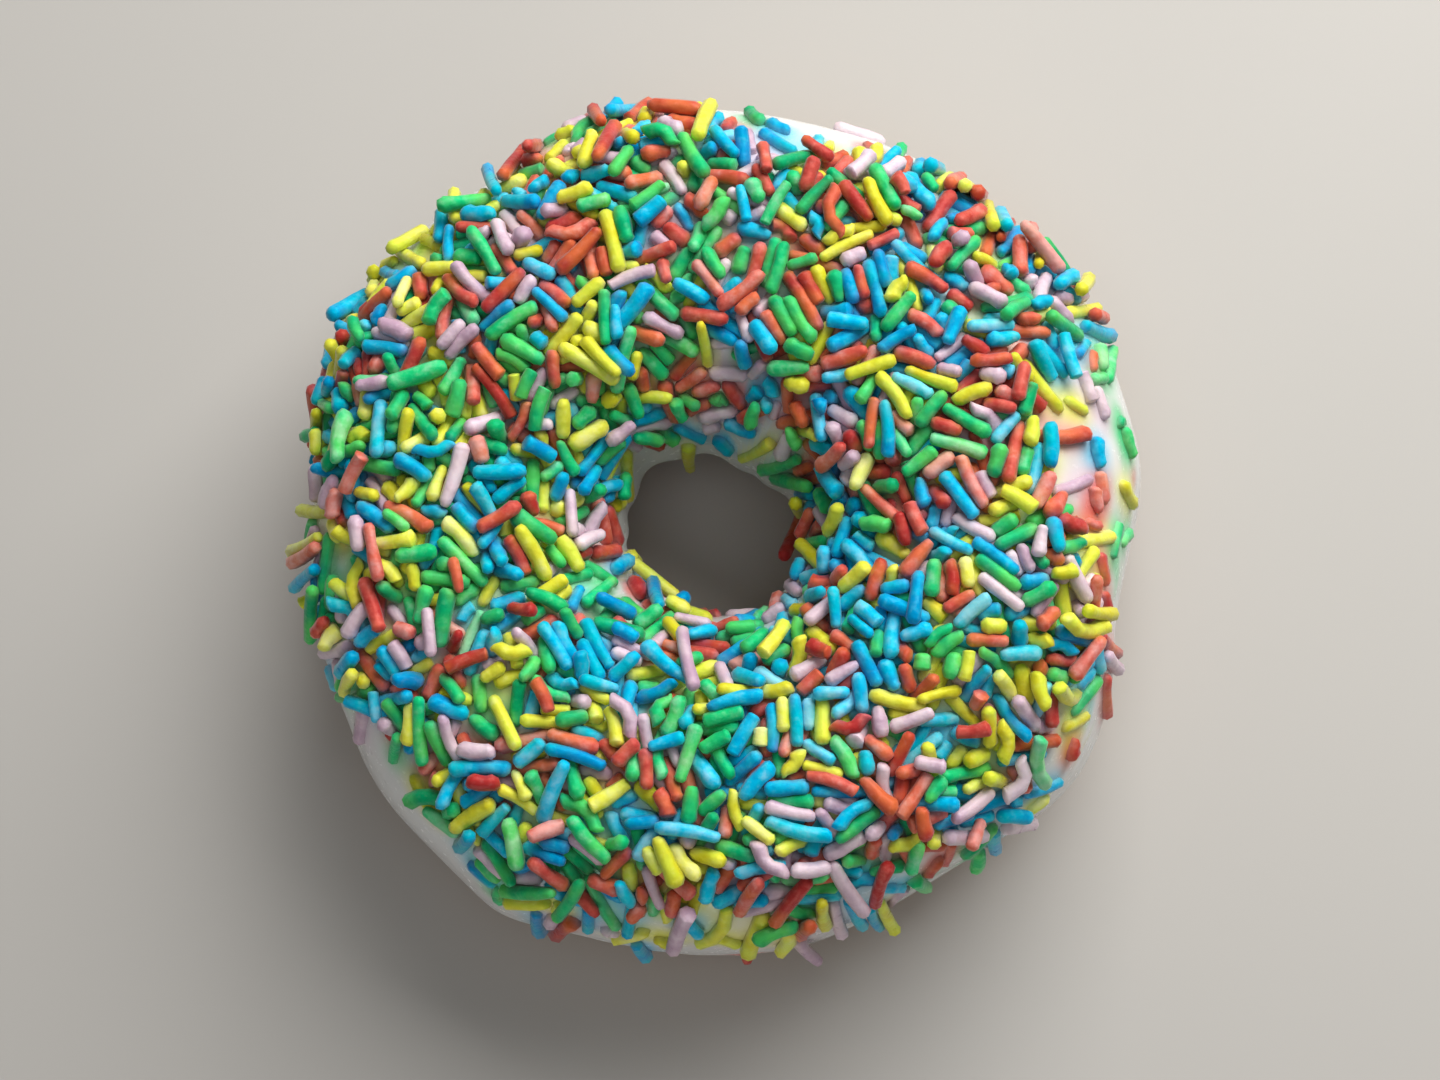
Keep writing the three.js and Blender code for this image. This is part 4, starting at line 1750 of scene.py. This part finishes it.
@dataclass
class Dough:
    """The fried ring: a crust with lumps, wrinkles and a pale line where neither side lay in the oil."""

    form: RingForm
    seed: int = 11
    round_steps: int = 420
    section_steps: int = 200
    lumps: tuple[Noise, ...] = (Noise(0.16, (16, 9)), Noise(0.11, (44, 22)))
    wrinkles: Noise = Noise(0.12, (90, 34))
    grain: Noise = Noise(0.05, (170, 80))
    brown: float = 0.6
    foot_brown: float = 0.16
    pale: float = 0.5
    pale_lines: tuple[float, float] = (-19 * DEGREE, 199 * DEGREE)
    pale_width: float = 9 * DEGREE
    pale_sway: tuple[Wave, ...] = (Wave(2.5, 4, 0, 1.0), Wave(1.5, 9, 0))

    def relief(self, tilt: Array) -> Array:
        """The fine relief of the crust in mm: noise of four sizes, one of them as sharp wrinkles.

        Args:
            tilt: the grid's tilts.

        Returns:
            The relief at the grid's points.
        """
        random, shape = np.random.default_rng(self.seed), tilt.shape
        broad = sum(noise.on(shape, random) for noise in self.lumps)
        wrinkles = np.abs(self.wrinkles.on(shape, random))
        return broad - wrinkles + self.grain.on(shape, random)

    def bake(self, azimuth: Array, tilt: Array) -> Array:
        """How brown the crust is, from 0 to 1: browned below, paler near the two lines round the side.

        Args:
            azimuth: the azimuths.
            tilt: the tilts.

        Returns:
            The browning at each.
        """
        sway = waves(self.pale_sway, azimuth) * DEGREE
        brown = np.full(tilt.shape, self.brown)
        for line in self.pale_lines:
            away = (tilt - line - sway + math.pi) % TURN - math.pi
            brown -= self.pale * bell(away, self.pale_width)
        return brown + self.foot_brown * np.clip(-np.sin(tilt), 0, 1) ** 2

    def build(self) -> None:
        """Writes the dough ring."""
        azimuth, tilt = np.meshgrid(
            np.arange(self.round_steps) / self.round_steps * TURN,
            np.arange(self.section_steps) / self.section_steps * TURN,
            indexing="ij",
        )
        points = self.form.point(azimuth, tilt, self.relief(tilt))
        points[..., 2] = np.maximum(points[..., 2], 0.0)
        faces = grid_faces(self.round_steps, self.section_steps)
        piece = write_mesh("dough_crust", points.reshape(-1, 3), [faces])
        paint(piece, "bake", self.bake(azimuth, tilt).ravel())
        piece.data.materials.append(CrustFinish().material())
        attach(piece, "root")
        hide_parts("dough_ring")
        LOG.info("dough_crust: %d faces", len(faces))


# ---- the studio ----


@dataclass(frozen=True)
class SoftLight:
    """A square soft light: its name, its place and side in metres, its power in watts, and its colour."""

    name: str
    place: tuple[float, float, float]
    size: float
    power: float
    colour: Colour

    def hang(self) -> None:
        """Hangs the light where it looks at the doughnut."""
        data = bpy.data.lights.new(self.name, "AREA")
        data.shape = "SQUARE"
        data.size = self.size
        data.energy = self.power
        data.color = self.colour
        light = bpy.data.objects.new(self.name, data)
        light.location = self.place
        light.rotation_mode = "QUATERNION"
        light.rotation_quaternion = (-Vector(self.place)).to_track_quat("-Z", "Y")
        bpy.context.scene.collection.objects.link(light)


@dataclass
class Studio:
    """A pale floor, a dim even world and the camera, with soft lights.

    The window stands near on the upper right, the fill hangs high over the front, and the bounce is low
    on the near side.
    """

    viewpoint: Viewpoint
    floor_size: float = 3.0
    floor_colour: Colour = (0.50, 0.485, 0.46)
    floor_darkening: float = 0.96
    floor_patches: float = 60.0
    floor_roughness: float = 0.7
    world_colour: Colour = (1.0, 0.985, 0.96)
    world_strength: float = 0.11
    clip: tuple[float, float] = (0.01, 10.0)
    lights: tuple[SoftLight, ...] = (
        SoftLight("window", (0.22, 0.37, 0.35), 0.5, 5.5, (1.0, 0.98, 0.95)),
        SoftLight("fill", (0.05, -0.15, 0.7), 0.5, 0.7, (0.95, 0.97, 1.0)),
        SoftLight("bounce", (-0.1, -0.55, 0.11), 0.2, 0.55, (1.0, 0.97, 0.93)),
    )

    def floor(self) -> None:
        """A plain square on which the doughnut stands."""
        half = self.floor_size / 2 / MM
        points = np.array([(-half, -half, 0), (half, -half, 0), (half, half, 0), (-half, half, 0)], float)
        piece = write_mesh("floor", points, [np.array([[0, 1, 2, 3]])])
        nodes = Nodes("floor_finish")
        darker = tuple(self.floor_darkening * channel for channel in self.floor_colour)
        colour = nodes.mix(nodes.noise(self.floor_patches, detail=2.0), darker, self.floor_colour)
        material = nodes.shade({"Base Color": colour}, {"Roughness": self.floor_roughness})
        piece.data.materials.append(material)

    def camera(self) -> None:
        """The camera, turned so that +Y runs up the image."""
        right, up, back = self.viewpoint.axes()
        data = bpy.data.cameras.new("camera")
        data.lens = self.viewpoint.lens
        data.sensor_width = self.viewpoint.sensor
        data.clip_start, data.clip_end = self.clip
        camera = bpy.data.objects.new("camera", data)
        rotation = Matrix(np.stack([right, up, back], axis=1).tolist())
        camera.matrix_world = Matrix.Translation(Vector(self.viewpoint.eye() * MM)) @ rotation.to_4x4()
        bpy.context.scene.collection.objects.link(camera)
        bpy.context.scene.camera = camera

    def world(self) -> None:
        """An even dim light from all round, and plain colours in the picture."""
        world = bpy.data.worlds.new("studio")
        world.use_nodes = True
        background = world.node_tree.nodes["Background"]
        background.inputs["Color"].default_value = (*self.world_colour, 1.0)
        background.inputs["Strength"].default_value = self.world_strength
        bpy.context.scene.world = world
        bpy.context.scene.view_settings.view_transform = "Standard"

    def build(self) -> None:
        """Sets the whole stage."""
        self.floor()
        self.world()
        for light in self.lights:
            light.hang()
        self.camera()


def main() -> None:
    """Builds the doughnut and its stage."""
    logging.basicConfig(level=logging.INFO, format="%(message)s")
    viewpoint = Viewpoint()
    Studio(viewpoint).build()
    pile = StrandPile(FORM, viewpoint, ceiling=CAD_BOX[1][2] / MM + HEADROOM)
    strands = pile.pour()
    Dough(FORM).build()
    Icing(FORM, viewpoint).build(strands)
    StrandShapes(pile, strands).build()


if __name__ == "__main__":
    main()
